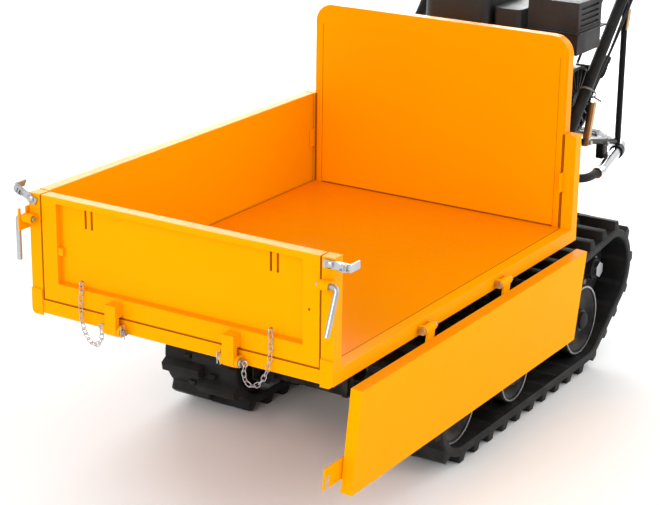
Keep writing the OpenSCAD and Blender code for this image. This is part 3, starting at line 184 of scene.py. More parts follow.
# %% Studio floor
PAPER_SIZE, PAPER_DROP = 14, 0.0005
floor_mesh = bpy.data.meshes.new("studio_floor")
paper = bmesh.new()
bmesh.ops.create_grid(paper, x_segments=1, y_segments=1, size=PAPER_SIZE)
bmesh.ops.translate(paper, verts=paper.verts, vec=(0, 0, cad_low.z - PAPER_DROP))
paper.to_mesh(floor_mesh)
paper.free()
studio_floor = bpy.data.objects.new("studio_floor", floor_mesh)
scene.collection.objects.link(studio_floor)
studio_floor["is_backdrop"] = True
white_paper = bpy.data.materials.new("white_paper")
white_paper.use_nodes = True
paper_face = white_paper.node_tree.nodes["Principled BSDF"].inputs
paper_face["Base Color"].default_value = (0.97, 0.97, 0.97, 1)
paper_face["Roughness"].default_value = 0.9
floor_mesh.materials.append(white_paper)
print("floor at", round(cad_low.z, 4))

# %% [markdown]
# ## Shared effects
# Four effects come back in many finishes. *Edge rub* finds edges by comparing the surface's normal with a
# rounded one, and breaks the line up with noise, as handling does to paint. *Coat skin* is the fine orange peel
# of powder coat on sheet that isn't perfectly flat. *Settled dust* lies on faces that look up and near the
# ground. *Fine grain* is the sandy skin of castings, rubber and moulded plastic. Each is a node group with named
# sockets, so that a material sets only what differs. Textures read Object coordinates, and each object sits at
# the frame's origin, so a pattern's scale is in features per metre.

# %% Groups, sums and noise


def group(name, inputs, outputs):
    tree = bpy.data.node_groups.new(name, "ShaderNodeTree")
    for label, value in inputs.items():
        socket = tree.interface.new_socket(label, in_out="INPUT", socket_type="NodeSocketFloat")
        socket.default_value = value
    for label in outputs:
        tree.interface.new_socket(label, in_out="OUTPUT", socket_type="NodeSocketFloat")
    return tree, add(tree, "NodeGroupInput").outputs, add(tree, "NodeGroupOutput").inputs


def math_node(tree, operation, first, second=0.0, clamp=False):
    node = add(tree, "ShaderNodeMath", {0: first, 1: second}, operation=operation, use_clamp=clamp)
    return node.outputs[0]


def noise(tree, scale, detail=3.0):
    place = add(tree, "ShaderNodeTexCoord").outputs["Object"]
    return add(tree, "ShaderNodeTexNoise", {"Vector": place, "Scale": scale, "Detail": detail}).outputs[0]


# %% Edge rub


def edge_rub_group():
    tree, given, out = group("edge_rub", {"Radius": 0.003, "Gain": 3.0, "Break-up": 60.0}, ["Mask"])
    rounded = add(tree, "ShaderNodeBevel", {"Radius": given["Radius"]}, samples=4)
    flat = add(tree, "ShaderNodeNewGeometry").outputs["Normal"]
    facing = add(tree, "ShaderNodeVectorMath", {0: rounded.outputs[0], 1: flat}, operation="DOT_PRODUCT")
    apart = math_node(tree, "SUBTRACT", 1.0, facing.outputs["Value"])
    edge = math_node(tree, "MULTIPLY", apart, given["Gain"], clamp=True)
    rough = noise(tree, 60.0, 4.0)
    tree.links.new(given["Break-up"], rough.node.inputs["Scale"])
    patch = remap(tree, rough, 0.38, 0.68)
    tree.links.new(math_node(tree, "MULTIPLY", edge, patch, clamp=True), out["Mask"])
    return tree


EDGE_RUB = edge_rub_group()
print("edge rub:", len(EDGE_RUB.nodes), "nodes")

# %% Coat skin


def coat_skin_group():
    tree, given, out = group("coat_skin", {"Peel": 0.3, "Wave": 0.6}, ["Height", "Tone"])
    peel = math_node(tree, "MULTIPLY", noise(tree, 520.0, 1.0), given["Peel"])
    wave = math_node(tree, "MULTIPLY", noise(tree, 7.0, 1.0), given["Wave"])
    tree.links.new(math_node(tree, "ADD", peel, wave), out["Height"])
    tree.links.new(noise(tree, 3.0, 3.0), out["Tone"])
    return tree


COAT_SKIN = coat_skin_group()
print("coat skin:", len(COAT_SKIN.nodes), "nodes")

# %% Settled dust


def settled_dust_group():
    tree, given, out = group("settled_dust", {"Ground": 0.35, "Amount": 0.5}, ["Mask"])
    facing = add(tree, "ShaderNodeSeparateXYZ", {0: add(tree, "ShaderNodeNewGeometry").outputs["Normal"]})
    place = add(tree, "ShaderNodeSeparateXYZ", {0: add(tree, "ShaderNodeTexCoord").outputs["Object"]})
    ledge = remap(tree, facing.outputs["Z"], 0.2, 1.0, high=0.6)
    low = remap(tree, place.outputs["Z"], given["Ground"], 0.0)
    patch = remap(tree, noise(tree, 26.0, 6.0), 0.42, 0.72)
    lying = math_node(tree, "MULTIPLY", math_node(tree, "MAXIMUM", ledge, low), patch)
    tree.links.new(math_node(tree, "MULTIPLY", lying, given["Amount"], clamp=True), out["Mask"])
    return tree


SETTLED_DUST = settled_dust_group()
print("settled dust:", len(SETTLED_DUST.nodes), "nodes")

# %% Fine grain


def fine_grain_group():
    tree, given, out = group("fine_grain", {"Scale": 900.0}, ["Height", "Tone"])
    fine = noise(tree, 900.0, 3.0)
    tree.links.new(given["Scale"], fine.node.inputs["Scale"])
    tree.links.new(fine, out["Height"])
    tree.links.new(noise(tree, 14.0, 5.0), out["Tone"])
    return tree


FINE_GRAIN = fine_grain_group()
print("shared effects:", [g.name for g in bpy.data.node_groups])

# %% [markdown]
# ## Starting a material
# A new material has one Principled shader. *Start* sets the values that are the same all over the surface straight
# on its sockets, and *vary* links what isn't, with a bump from a height. *Layered* lays colours over each other
# through masks. Noise bunches round its middle, so *spread* stretches that middle over the whole range.

# %% Material helpers
FINISH = {}


def start(name, **values):
    FINISH[name] = bpy.data.materials.new(name)
    FINISH[name].use_nodes = True
    tree = FINISH[name].node_tree
    shader = tree.nodes["Principled BSDF"]
    for key, value in values.items():
        shader.inputs[key.replace("_", " ")].default_value = value
    return tree, shader


def use(tree, shared, **values):
    return add(tree, "ShaderNodeGroup", values, node_tree=shared).outputs


def spread(tree, value, low=0.0, high=1.0):
    return remap(tree, value, 0.3, 0.7, low, high)


def layered(tree, colour, *layers):
    for mask, over in layers:
        colour = add(tree, "ShaderNodeMix", {0: mask, 6: colour, 7: over}, data_type="RGBA").outputs[2]
    return colour


def vary(tree, shader, height, distance, **sockets):
    bump = add(tree, "ShaderNodeBump", {"Height": height, "Distance": distance})
    for key, value in {"Normal": bump.outputs[0], **sockets}.items():
        tree.links.new(value, shader.inputs[key.replace("_", " ")])


# %% [markdown]
# ## Powder-coated sheet
# The tray is yellow powder coat over folded steel. It has a clear gloss, a faint peel, and panels that wave a
# little, which bends the reflections in the floor. The same recipe in black covers the chassis and handlebars.
# The coat's gloss is low face on and strong at a grazing angle, and the rubbed edges show a paler skin. A deep
# brown of the same coat is painted shade in the narrow gaps between panels.

# %% Paints
PAINT_DUST = (0.33, 0.27, 0.2, 1)


def powder_coat(name, colour, deep, rubbed, gloss, roughness, rub_gain=1.2, dust=0.02, wave=0.6):
    tree, shader = start(name, Specular_IOR_Level=gloss, Specular_Tint=colour)
    skin = use(tree, COAT_SKIN, Peel=0.35, Wave=wave)
    rub = use(tree, EDGE_RUB, Radius=0.0022, Gain=rub_gain)
    dirt = use(tree, SETTLED_DUST, Amount=dust)
    tone = spread(tree, skin["Tone"])
    paint = layered(tree, colour, (tone, deep), (rub["Mask"], rubbed), (dirt["Mask"], PAINT_DUST))
    dull = spread(tree, skin["Tone"], roughness, roughness + 0.08)
    dull = math_node(tree, "ADD", dull, math_node(tree, "MULTIPLY", dirt["Mask"], 0.4))
    vary(tree, shader, skin["Height"], distance=0.0006, Base_Color=paint, Roughness=dull)


powder_coat("tray_yellow", colour=(0.95, 0.38, 0.0, 1), deep=(0.94, 0.365, 0.0, 1),
            rubbed=(1.0, 0.5, 0.1, 1), gloss=0.04, roughness=0.26)
# The floor's orange is painted shade: the tray's coat made deeper for the upward faces, which get less light.
powder_coat("floor_orange", colour=(0.95, 0.29, 0.0, 1), deep=(0.93, 0.275, 0.0, 1),
            rubbed=(1.0, 0.42, 0.03, 1), gloss=0.03, roughness=0.14, rub_gain=1.0, wave=2.4)
# The headboard's orange is painted shade too: the tray's coat made a little deeper.
powder_coat("headboard_orange", colour=(0.95, 0.34, 0.0, 1), deep=(0.94, 0.325, 0.0, 1),
            rubbed=(1.0, 0.45, 0.05, 1), gloss=0.07, roughness=0.24)
powder_coat("side_yellow", colour=(0.95, 0.39, 0.0, 1), deep=(0.94, 0.375, 0.0, 1),
            rubbed=(1.0, 0.5, 0.1, 1), gloss=0.012, roughness=0.3)
# A dark brown of the coat, painted shade for the narrow gaps between panels.
powder_coat("painted_gap_shade", colour=(0.36, 0.09, 0.0, 1), deep=(0.3, 0.075, 0.0, 1),
            rubbed=(0.45, 0.13, 0.01, 1), gloss=0.02, roughness=0.5, rub_gain=0.6)
powder_coat("frame_black", colour=(0.012, 0.012, 0.013, 1), deep=(0.02, 0.02, 0.021, 1),
            rubbed=(0.07, 0.07, 0.075, 1), gloss=0.4, roughness=0.36, dust=0.2, wave=0.5)
print("paints:", sorted(FINISH))

# %% [markdown]
# ## Rubber
# Track rubber is a dull charcoal that greys where it scuffs and holds dust between the lugs. Grips, buffers and
# sleeves are a softer, finer rubber. The grain is a bump, scuffed edges go paler, and patches vary in gloss.

# %% Rubbers
RUBBER_DUST = (0.2, 0.17, 0.13, 1)


def rubber(name, colour, scuffed, roughness, grain, dust=0.1):
    tree, shader = start(name, Specular_IOR_Level=0.2)
    skin = use(tree, FINE_GRAIN, Scale=grain)
    scuff = use(tree, EDGE_RUB, Radius=0.004, Gain=2.2)
    dirt = use(tree, SETTLED_DUST, Amount=dust)
    patch = spread(tree, skin["Tone"], high=0.35)
    tone = layered(tree, colour, (patch, scuffed), (scuff["Mask"], scuffed), (dirt["Mask"], RUBBER_DUST))
    dull = spread(tree, skin["Tone"], roughness, roughness + 0.2)
    vary(tree, shader, skin["Height"], distance=0.0005, Base_Color=tone, Roughness=dull)


rubber("track_rubber", colour=(0.007, 0.007, 0.0075, 1), scuffed=(0.026, 0.026, 0.027, 1),
       roughness=0.5, grain=700.0, dust=0.08)
rubber("soft_rubber", colour=(0.012, 0.012, 0.012, 1), scuffed=(0.035, 0.035, 0.035, 1),
       roughness=0.55, grain=1500.0)
rubber("belt_rubber", colour=(0.015, 0.014, 0.013, 1), scuffed=(0.06, 0.055, 0.05, 1),
       roughness=0.6, grain=1800.0)
rubber("cable_black", colour=(0.01, 0.01, 0.011, 1), scuffed=(0.03, 0.03, 0.03, 1),
       roughness=0.35, grain=2200.0)
print("with rubbers:", sorted(FINISH))

# %% [markdown]
# ## Plated and bare metal
# The latches, chains and bolts are bright zinc: a pale metal with a slightly mottled, milky skin. A few brackets
# and bolts have the gold tint of passivated zinc. The rear guard is chrome tube, smoother and brighter. Engine
# castings are sand-textured aluminium, and the muffler box is grey steel that has browned in patches.

# %% Metals
WORN_BRIGHT = (0.85, 0.85, 0.86, 1)


def bare_metal(name, colour, deep, roughness, grain, bump, stain=None):
    tree, shader = start(name, Metallic=1.0)
    skin = use(tree, FINE_GRAIN, Scale=grain)
    rub = use(tree, EDGE_RUB, Radius=0.0015, Gain=2.0)
    tone = layered(tree, colour, (spread(tree, skin["Tone"]), deep))
    if stain:
        patch = math_node(tree, "MULTIPLY", spread(tree, noise(tree, 22.0, 5.0)), 0.55)
        tone = layered(tree, tone, (patch, stain))
    tone = layered(tree, tone, (rub["Mask"], WORN_BRIGHT))
    dull = spread(tree, skin["Tone"], roughness, roughness + 0.14)
    vary(tree, shader, skin["Height"], distance=bump, Base_Color=tone, Roughness=dull)


bare_metal("zinc", colour=(0.54, 0.55, 0.57, 1), deep=(0.38, 0.39, 0.41, 1),
           roughness=0.24, grain=240.0, bump=0.0002)
bare_metal("gold_zinc", colour=(0.62, 0.42, 0.2, 1), deep=(0.5, 0.33, 0.16, 1),
           roughness=0.28, grain=300.0, bump=0.0002)
bare_metal("guard_chrome", colour=(0.66, 0.67, 0.68, 1), deep=(0.58, 0.59, 0.61, 1),
           roughness=0.1, grain=400.0, bump=0.00006)
bare_metal("engine_alloy", colour=(0.5, 0.51, 0.52, 1), deep=(0.38, 0.385, 0.39, 1),
           roughness=0.36, grain=1300.0, bump=0.0004)
bare_metal("cast_grey", colour=(0.3, 0.3, 0.31, 1), deep=(0.2, 0.2, 0.205, 1),
           roughness=0.42, grain=900.0, bump=0.0006)
bare_metal("muffler_grey", colour=(0.07, 0.072, 0.075, 1), deep=(0.045, 0.045, 0.047, 1),
           roughness=0.5, grain=1100.0, bump=0.0003, stain=(0.06, 0.045, 0.035, 1))
print("with metals:", sorted(FINISH))

# %% [markdown]
# ## Engine shrouds and cord
# The shrouds, tank and starter housing are black moulded plastic and stoved sheet with a leathery texture. The
# starter cord is braided: two crossed wave patterns along its length make the plait.

# %% Plastic and cord
PLASTIC_DUST = (0.16, 0.14, 0.12, 1)
PLAIT_TURN = 0.7


def moulded_plastic(name, colour, worn, roughness):
    tree, shader = start(name, Specular_IOR_Level=0.45)
    skin = use(tree, FINE_GRAIN, Scale=1400.0)
    rub = use(tree, EDGE_RUB, Radius=0.0015, Gain=1.6)
    dirt = use(tree, SETTLED_DUST, Amount=0.25, Ground=0.1)
    tone = layered(tree, colour, (rub["Mask"], worn), (dirt["Mask"], PLASTIC_DUST))
    dull = spread(tree, skin["Tone"], roughness, roughness + 0.15)
    vary(tree, shader, skin["Height"], distance=0.0003, Base_Color=tone, Roughness=dull)


def braided_cord(name, colour, shadow):
    tree, shader = start(name, Roughness=0.8)
    place = add(tree, "ShaderNodeTexCoord").outputs["Object"]
    strands = []
    for turn in (PLAIT_TURN, -PLAIT_TURN):
        slanted = add(tree, "ShaderNodeMapping", {"Vector": place, "Rotation": (0, turn, turn)}).outputs[0]
        strand = add(tree, "ShaderNodeTexWave", {"Vector": slanted, "Scale": 260.0, "Distortion": 0.6})
        strands.append(strand.outputs[1])
    plait = math_node(tree, "MULTIPLY", *strands)
    vary(tree, shader, plait, distance=0.0005, Base_Color=layered(tree, shadow, (plait, colour)))


moulded_plastic("engine_black", colour=(0.014, 0.014, 0.015, 1), worn=(0.06, 0.06, 0.06, 1), roughness=0.34)
braided_cord("rope", colour=(0.5, 0.48, 0.42, 1), shadow=(0.12, 0.11, 0.1, 1))
print("finishes:", len(FINISH))

# %% [markdown]
# ## Finishing the solids
# A CAD solid arrives as loose triangles with knife edges. Weld joins them, a planar Decimate clears the
# triangles inside flat faces, a small Bevel rounds the edges as a press brake or a casting would, and Weighted
# Normal keeps the flats flat. All four are modifiers, so the solid itself stays as it was. The hinge bolts have a
# brownish zinc and the folded side a duller coat than the tray. The headboard's orange is painted shade, paler
# than the floor's, whose deeper orange is painted shade as well.

# %% Finish every solid
PLAIN_EDGE = 0.5
SOFT_EDGE = {"tray_yellow": 0.9, "frame_black": 0.9, "engine_alloy": 1.6, "engine_black": 1.6,
             "cast_grey": 1.8, "muffler_grey": 1.4, "soft_rubber": 1.2, "guard_chrome": 0.3}


def soften(solid, width):
    solid.modifiers.new("join", "WELD").merge_threshold = 1e-5
    flat = solid.modifiers.new("clear_flats", "DECIMATE")
    flat.decimate_type = "DISSOLVE"
    flat.angle_limit = math.radians(0.6)
    edge = solid.modifiers.new("round_edges", "BEVEL")
    edge.width = width * MM
    edge.segments = 2
    edge.limit_method = "ANGLE"
    edge.angle_limit = math.radians(32)
    edge.material = -1
    solid.modifiers.new("keep_flats", "WEIGHTED_NORMAL")


# The headboard's finish here is painted shade; the hinge bolts' and the folded side's finishes are their own.
OVERPAINTED = {"headboard": "headboard_orange", "hinge_bolts": "gold_zinc", "side_right": "side_yellow"}
slot_of = {part["node"]: part["material_slot"] for part in frame["record"]["subparts"]}
for name, solid in nodes.items():
    solid.material_slots[0].material = FINISH[OVERPAINTED.get(name, slot_of[name])]
    soften(solid, SOFT_EDGE.get(slot_of[name], PLAIN_EDGE))
print("finished solids:", len(slot_of))

# %% [markdown]
# ## Helpers for new pieces
# New pieces are built in a bmesh and land in the frame's own place. A piece is named, given its finish, and set
# to ride on the body that carries it, which is the chassis for most of them. Places are points of the frame, and
# all other sizes are in millimetres.

# %% A named piece
SIDES = ((1, "right"), (-1, "left"))


def set_in_scene(name, data, body):
    obj = bpy.data.objects.new(name, data)
    scene.collection.objects.link(obj)
    if body:
        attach(obj, body)
    return obj


def piece(name, bm, slot, body="chassis", angle=35, finish=None):
    bmesh.ops.recalc_face_normals(bm, faces=bm.faces)
    mesh = bpy.data.meshes.new(name)
    bm.to_mesh(mesh)
    bm.free()
    mesh.materials.append(FINISH[finish or slot])
    mesh.shade_smooth()
    mesh.set_sharp_from_angle(angle=math.radians(angle))
    print(name, len(mesh.polygons), "faces")
    return set_in_scene(name, mesh, body)


# %% [markdown]
# ## Blocks
# Many parts begin as a box between two corners. A moulded or pressed part has no knife edges, so a bevel rounds
# them. A Bevel modifier could do that too, but here each block takes its own width.

# %% Blocks


def round_edges(bm, edges, width, segments=2):
    bmesh.ops.bevel(bm, geom=edges, offset=width * MM, affect="EDGES", segments=segments, profile=0.5, material=-1)


def edges_of(verts):
    return list({e for v in verts for e in v.link_edges})


def block(bm, low, high, bevel=0.0, segments=2):
    """A box between two corners, its edges rounded."""
    size = Matrix.Diagonal((*(high - low), 1))
    verts = bmesh.ops.create_cube(bm, size=1, matrix=Matrix.Translation((low + high) / 2) @ size)["verts"]
    if bevel:
        round_edges(bm, edges_of(verts), bevel, segments)


# %% [markdown]
# ## The rubber tracks
# Each track is an endless belt with two rows of staggered lugs outside, and guide horns inside that run between
# the wheels' discs. The belt is one cross-section carried round the wheels and joined to its own start. A lug is
# a bevelled block that narrows to its tip, with a small knob between it and the next. Copies of both are set
# round the belt at the CAD's own pitch.

# %% Track path
WHEEL_R, BELT_T, LUG_PITCH = 78, 18, 60
PATH_R = WHEEL_R + BELT_T / 2
IDLER, REAR_ROLLER, SPROCKET = Vector((487, 114)), Vector((1048, 114)), Vector((1158, 196))
ground_run, climb_run, return_run = REAR_ROLLER - IDLER, SPROCKET - REAR_ROLLER, SPROCKET - IDLER
CLIMB = math.atan2(climb_run.y, climb_run.x)
RETURN = math.pi + math.atan2(return_run.y, return_run.x)
LEGS = [(IDLER, 0, 0, ground_run.length), (REAR_ROLLER, 0, CLIMB, climb_run.length),
        (SPROCKET, CLIMB, RETURN, return_run.length), (IDLER, RETURN, math.tau, 0)]
BELT_L = sum(PATH_R * (b - a) + run for _, a, b, run in LEGS)
LUGS = round(BELT_L / LUG_PITCH)


def on_belt(s, x):
    """The frame of the belt's middle, s mm round from under the idler: X across, Y along, Z inwards."""
    for centre, turn0, turn1, run in LEGS:
        arc = PATH_R * (turn1 - turn0)
        if s <= arc + run:
            break
        s -= arc + run
    turn = turn0 + min(s, arc) / PATH_R
    along = max(s - arc, 0)
    y = centre.x + PATH_R * math.sin(turn) + along * math.cos(turn)
    z = centre.y - PATH_R * math.cos(turn) + along * math.sin(turn)
    return Matrix.Translation(at(x, y, z)) @ Matrix.Rotation(turn, 4, "X")


print("belt", round(BELT_L), "mm round,", LUGS, "lugs a row")

# %% Belt
TRACK_X = 235
BELT_PROFILE = [(-90, -6), (-87, -9), (-50, -9), (-46, -7.5), (46, -7.5), (50, -9), (87, -9), (90, -6),
                (90, 6), (87, 9), (30, 9), (27, 7.5), (-27, 7.5), (-30, 9), (-87, 9), (-90, 6)]
STATIONS = LUGS * 8
print("cross-section:", len(BELT_PROFILE), "points at", STATIONS, "stations")


def next_ring(bm, edges, move):
    """Draws a ring of edges out to the next one and moves that; hands back its edges."""
    made = bmesh.ops.extrude_edge_only(bm, edges=edges)["geom"]
    verts = [g for g in made if isinstance(g, bmesh.types.BMVert)]
    bmesh.ops.transform(bm, matrix=move, verts=verts)
    return [g for g in made if isinstance(g, bmesh.types.BMEdge) and all(v in verts for v in g.verts)]


def carry_belt(bm, x):
    """The belt's cross-section, carried round its path and bridged to its own start."""
    here = on_belt(0, x)
    ring = [bm.verts.new(here @ (Vector((across, 0, depth)) * MM)) for across, depth in BELT_PROFILE]
    start_ring = [bm.edges.new((a, b)) for a, b in zip(ring, ring[1:] + ring[:1])]
    edges = start_ring
    for i in range(1, STATIONS):
        there = on_belt(BELT_L * i / STATIONS, x)
        edges = next_ring(bm, edges, there @ here.inverted())
        here = there
    bmesh.ops.bridge_loops(bm, edges=start_ring + edges)


# %% Lugs and horns


def about(place, turn):
    """A turn or a scaling that leaves a place where it is."""
    return Matrix.Translation(place) @ turn @ Matrix.Translation(-place)


def moulded_block(low, high, tip, inset, bevel):
    """A block from low to high in mm, narrowed towards its end farthest from the belt's middle, as a mesh."""
    bm = bmesh.new()
    block(bm, Vector(low) * MM, Vector(high) * MM)
    end = max(low[2], high[2], key=abs) * MM
    far = [v for v in bm.verts if abs(v.co.z - end) < 1e-6]
    middle = Vector(((low[0] + high[0]) / 2 * MM, (low[1] + high[1]) / 2 * MM, 0))
    bmesh.ops.transform(bm, matrix=about(middle, Matrix.Diagonal((1 - inset, tip, 1, 1))), verts=far)
    round_edges(bm, edges_of(far), bevel)
    mesh = bpy.data.meshes.new("moulded_block")
    bm.to_mesh(mesh)
    bm.free()
    return mesh


def stamp(bm, mesh, place):
    """One copy of a mesh, set at a place."""
    count = len(bm.verts)
    bm.from_mesh(mesh)
    bm.verts.ensure_lookup_table()
    bmesh.ops.transform(bm, matrix=place, verts=bm.verts[count:])


HORN = moulded_block((-12, -8, 6), (12, 8, 25), tip=0.6, inset=0.3, bevel=2)
CORE_BAR = moulded_block((-82, -7, 7), (82, 7, 9.4), tip=0.8, inset=0.02, bevel=0.5)
print("horn faces:", len(HORN.polygons), "core bar faces:", len(CORE_BAR.polygons))

# %% Both tracks


def track_belt(side, label):
    x = side * TRACK_X
    bm = bmesh.new()
    carry_belt(bm, x)
    rows = []
    for row, shift in ((side, 0.0), (-side, 0.5)):
        near, far = sorted((row * -10, row * 88))
        lug = moulded_block((near, -14, -6), (far, 14, -27), tip=0.64, inset=0.05, bevel=2)
        knob = moulded_block((row * 30 - 9, -32, -6), (row * 30 + 9, -22, -12), tip=0.6, inset=0.2, bevel=1)
        rows += [(shift, lug), (shift, knob)]
    for i in range(LUGS):
        for shift, mesh in (*rows, (0, HORN), (0, CORE_BAR)):
            stamp(bm, mesh, on_belt(BELT_L * (i + shift) / LUGS, x))
    return piece(f"track_belt_{label}", bm, "track_rubber")


for side, label in SIDES:
    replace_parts(track_belt(side, label), f"track_{label}")

# %% [markdown]
# ## Chains that hold the gate pins
# A short link chain ties each gate pin to an eye on the gate. The CAD's links already have the right length, so
# the piece is a joined copy of them with a slightly thinner wire.

# %% Pin chains
CHAIN_THINNER = 0.3 * MM
for side, label in SIDES:
    node = f"chain_{label}"
    bm = bmesh.new()
    bm.from_mesh(nodes[node].data)
    bmesh.ops.remove_doubles(bm, verts=bm.verts, dist=1e-6)
    bm.normal_update()
    for vert in bm.verts:
        vert.co -= vert.normal * CHAIN_THINNER
    links = piece(f"pin_{node}", bm, "zinc", None)
    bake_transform(links)
    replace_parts(links, node)

# %% [markdown]
# ## Hand grips
# The grips are slipped-on rubber with a flange at the front and rings for the fingers. Turning one profile about
# the bar's axis makes each, as a lathe would, and the same helper makes most of the round parts below.

# %% Turned rounds


def upright(place, axis):
    """The frame that stands at a place, with its Z along an axis."""
    return Matrix.Translation(place) @ Vector(axis).to_track_quat("Z", "Y").to_matrix().to_4x4()


def turned(bm, profile, place, axis, steps=32):
    """A round made by turning a profile of (radius, height) about an axis through a place."""
    base = upright(place, axis)
    verts = [bm.verts.new(base @ Vector((r * MM, 0, h * MM))) for r, h in profile]
    edges = [bm.edges.new(pair) for pair in zip(verts, verts[1:])]
    bmesh.ops.spin(bm, geom=verts + edges, cent=place, axis=Vector(axis), angle=math.tau, steps=steps,
                   use_merge=True)
    bmesh.ops.remove_doubles(bm, verts=bm.verts, dist=1e-7)


# %% Grips
GRIP_Y, BAR_X, BAR_Z = 1516, 232, 930
RINGS, FIRST_RING, RING_PITCH = 10, 12, 10.2
grip_profile = [(12.6, 0), (21, 0.6), (21, 3.4), (17.5, 5.5)]
for i in range(RINGS):
    y = FIRST_RING + i * RING_PITCH
    grip_profile += [(16.4, y - 4), (17.8, y - 2.4), (17.8, y + 2.4), (16.4, y + 4)]
grip_profile += [(17.6, 116), (17.2, 120.5), (14, 123), (0, 123)]
bm = bmesh.new()
for x in (-BAR_X, BAR_X):
    turned(bm, grip_profile, at(x, GRIP_Y, BAR_Z), (0, 1, 0), steps=28)
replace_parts(piece("ribbed_grips", bm, "soft_rubber", angle=50), "grips")

# %% [markdown]
# ## Control cables
# A steering cable runs from each hand lever to the gearbox. Three more run from the drive lever, the clutch and
# the throttle to the engine. Each is a stiff sheathed cable held at both ends, so it lies in one long curve. A
# Bezier curve with the CAD's own four points has exactly that shape.

# %% Cables
CABLE_R = 3.0


def sheathed_cable(name, points):
    curve = bpy.data.curves.new(name, "CURVE")
    curve.dimensions = "3D"
    curve.resolution_u = 40
    curve.bevel_depth = CABLE_R * MM
    curve.bevel_resolution = 3
    curve.use_fill_caps = True
    spline = curve.splines.new("BEZIER")
    spline.bezier_points.add(1)
    first, last = spline.bezier_points
    first.co, first.handle_right, first.handle_left = points[0], points[1], points[0] * 2 - points[1]
    last.co, last.handle_left, last.handle_right = points[3], points[2], points[3] * 2 - points[2]
    curve.materials.append(FINISH["cable_black"])
    obj = set_in_scene(name, curve, "chassis")
    return obj


ROUTES = {f"steering_cable_{label}": [(side * 220.7, 1499.65, 892), (side * 222, 1330, 640),
                                      (side * 110, 1400, 400), (side * 73.3, 1230, 300)] for side, label in SIDES}
ROUTES["clutch_cable"] = [(247, 1452, 878), (251, 1290, 702), (262, 1096, 520), (148, 1128, 453)]
ROUTES["throttle_cable"] = [(-174, 1430, 838), (-190, 1330, 700), (-70, 1330, 640), (47, 1252, 646)]
ROUTES["drive_cable"] = [(170.7, 1430, 841.5), (170, 1340, 700), (120, 1290, 560), (120, 1270, 450.3)]
cables = {name: sheathed_cable(name, [at(*point) for point in route]) for name, route in ROUTES.items()}
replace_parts(cables["steering_cable_right"], "control_cables")

# %% [markdown]
# ## Wheel faces
# A track roller is a pressed steel dish welded into a rim, with a thin bright alloy ring on the rim.
# The axle's end has a black dust cap. Each round is one profile turned about the axle, and the dishes and rims
# turn with their wheels while the caps stay with the frame.

# %% Dished wheels and dust caps
AXLES = {"idler": (*IDLER, WHEEL_R), "mid_roller": (735, 96, 60), "rear_roller": (*REAR_ROLLER, WHEEL_R)}
RIM_DEPTH = 8.5
dome = [(0, 71.5), (18.4, 71.5), (18.8, 72), (18.8, 75.6), (17, 77.4), (9, 79), (0, 79.4)]


def wheel_round(side, axle, profile):
    """A profile of (radius, distance out from the track's middle) turned about a wheel's axle."""
    bm = bmesh.new()
    turned(bm, profile, at(side * TRACK_X, *axle), (side, 0, 0), steps=48)
    return bm


caps = bmesh.new()
for side, label in SIDES:
    for wheel, (y, z, radius) in AXLES.items():
        rim = radius - RIM_DEPTH
        dish = [(24.1, 50), (30, 49), (rim - 14, 56), (rim - 4, 65.5), (rim - 1, 67.5), (rim - 0.1, 67)]
        shell = dish + [(r, h - 2) for r, h in reversed(dish)]
        body = f"{wheel}_{label}"
        piece(f"{body}_dish", wheel_round(side, (y, z), shell + shell[:1]), "frame_black", body)
        # A thin ring of bright alloy on the rim.
        worn = [(rim + 2.6, 69.6), (rim + 3, 70.5), (rim + 5.4, 70.5), (rim + 5.8, 69.6), (rim + 2.6, 69.6)]
        piece(f"{body}_bright_rim", wheel_round(side, (y, z), worn), "engine_alloy", body)
        turned(caps, dome, at(side * TRACK_X, y, z), (side, 0, 0))
piece("axle_dust_caps", caps, "soft_rubber")

# %% [markdown]
# ## Sprocket bolts
# The drive sprocket is bolted to its hub by a ring of hexagon bolts, which turn with it. A bolt's head is a cone
# of six sides and no taper, with its upper rim bevelled, and a thin round cone is its washer. *Corner* is the
# radius to a hexagon's corners where it measures 1 across its flats.

# %% Hexagon bolts
WASHER_T = 1.6
CORNER = 0.577


def hex_bolt(bm, place, axis, across, height, washer=0):
    """A hexagon head, some mm across its flats, on a washer of a given radius, standing on a face."""
    base = upright(place, axis)
    seat = WASHER_T * MM if washer else 0.0
    if washer:
        bmesh.ops.create_cone(bm, cap_ends=True, segments=20, radius1=washer * MM, radius2=washer * MM * 0.96,
                              depth=seat, matrix=base @ Matrix.Translation((0, 0, seat / 2)))
    radius, tall = across * MM * CORNER, height * MM
    head = bmesh.ops.create_cone(bm, cap_ends=True, segments=6, radius1=radius, radius2=radius, depth=tall,
                                 matrix=base @ Matrix.Translation((0, 0, seat + tall / 2)))["verts"]
    top = [v for v in head if (base.inverted() @ v.co).z > seat + tall * 0.9]
    round_edges(bm, [e for e in edges_of(top) if all(v in top for v in e.verts)], height * 0.16, 1)


def bolt_circle(bm, centre, side, radius, count, first, **bolt):
    """Bolts round a centre in mm, on a face that looks along X; first is the first one's share of the pitch."""
    x, y, z = centre
    for i in range(count):
        turn = math.tau * (i + first) / count
        place = at(x, y + radius * math.cos(turn), z + radius * math.sin(turn))
        hex_bolt(bm, place, (side, 0, 0), **bolt)


# %% Sprocket bolts
HUB_FACE = 26
for side, label in SIDES:
    bm = bmesh.new()
    bolt_circle(bm, (side * (TRACK_X + HUB_FACE), *SPROCKET), side, radius=34, count=5, first=0.25,
                across=13, height=7, washer=9)
    piece(f"sprocket_bolts_{label}", bm, "zinc", f"sprocket_{label}")

# %% [markdown]
# ## Rear guard
# The guard is a chromed tube bent round the back of the machine. A ring carried along the bent line keeps the
# bends as smooth as a mandrel bend, which a solid of straight lengths and torus pieces can't show. At each front
# bend a thinner black sleeve plugs into the tube.

# %% Bent bars


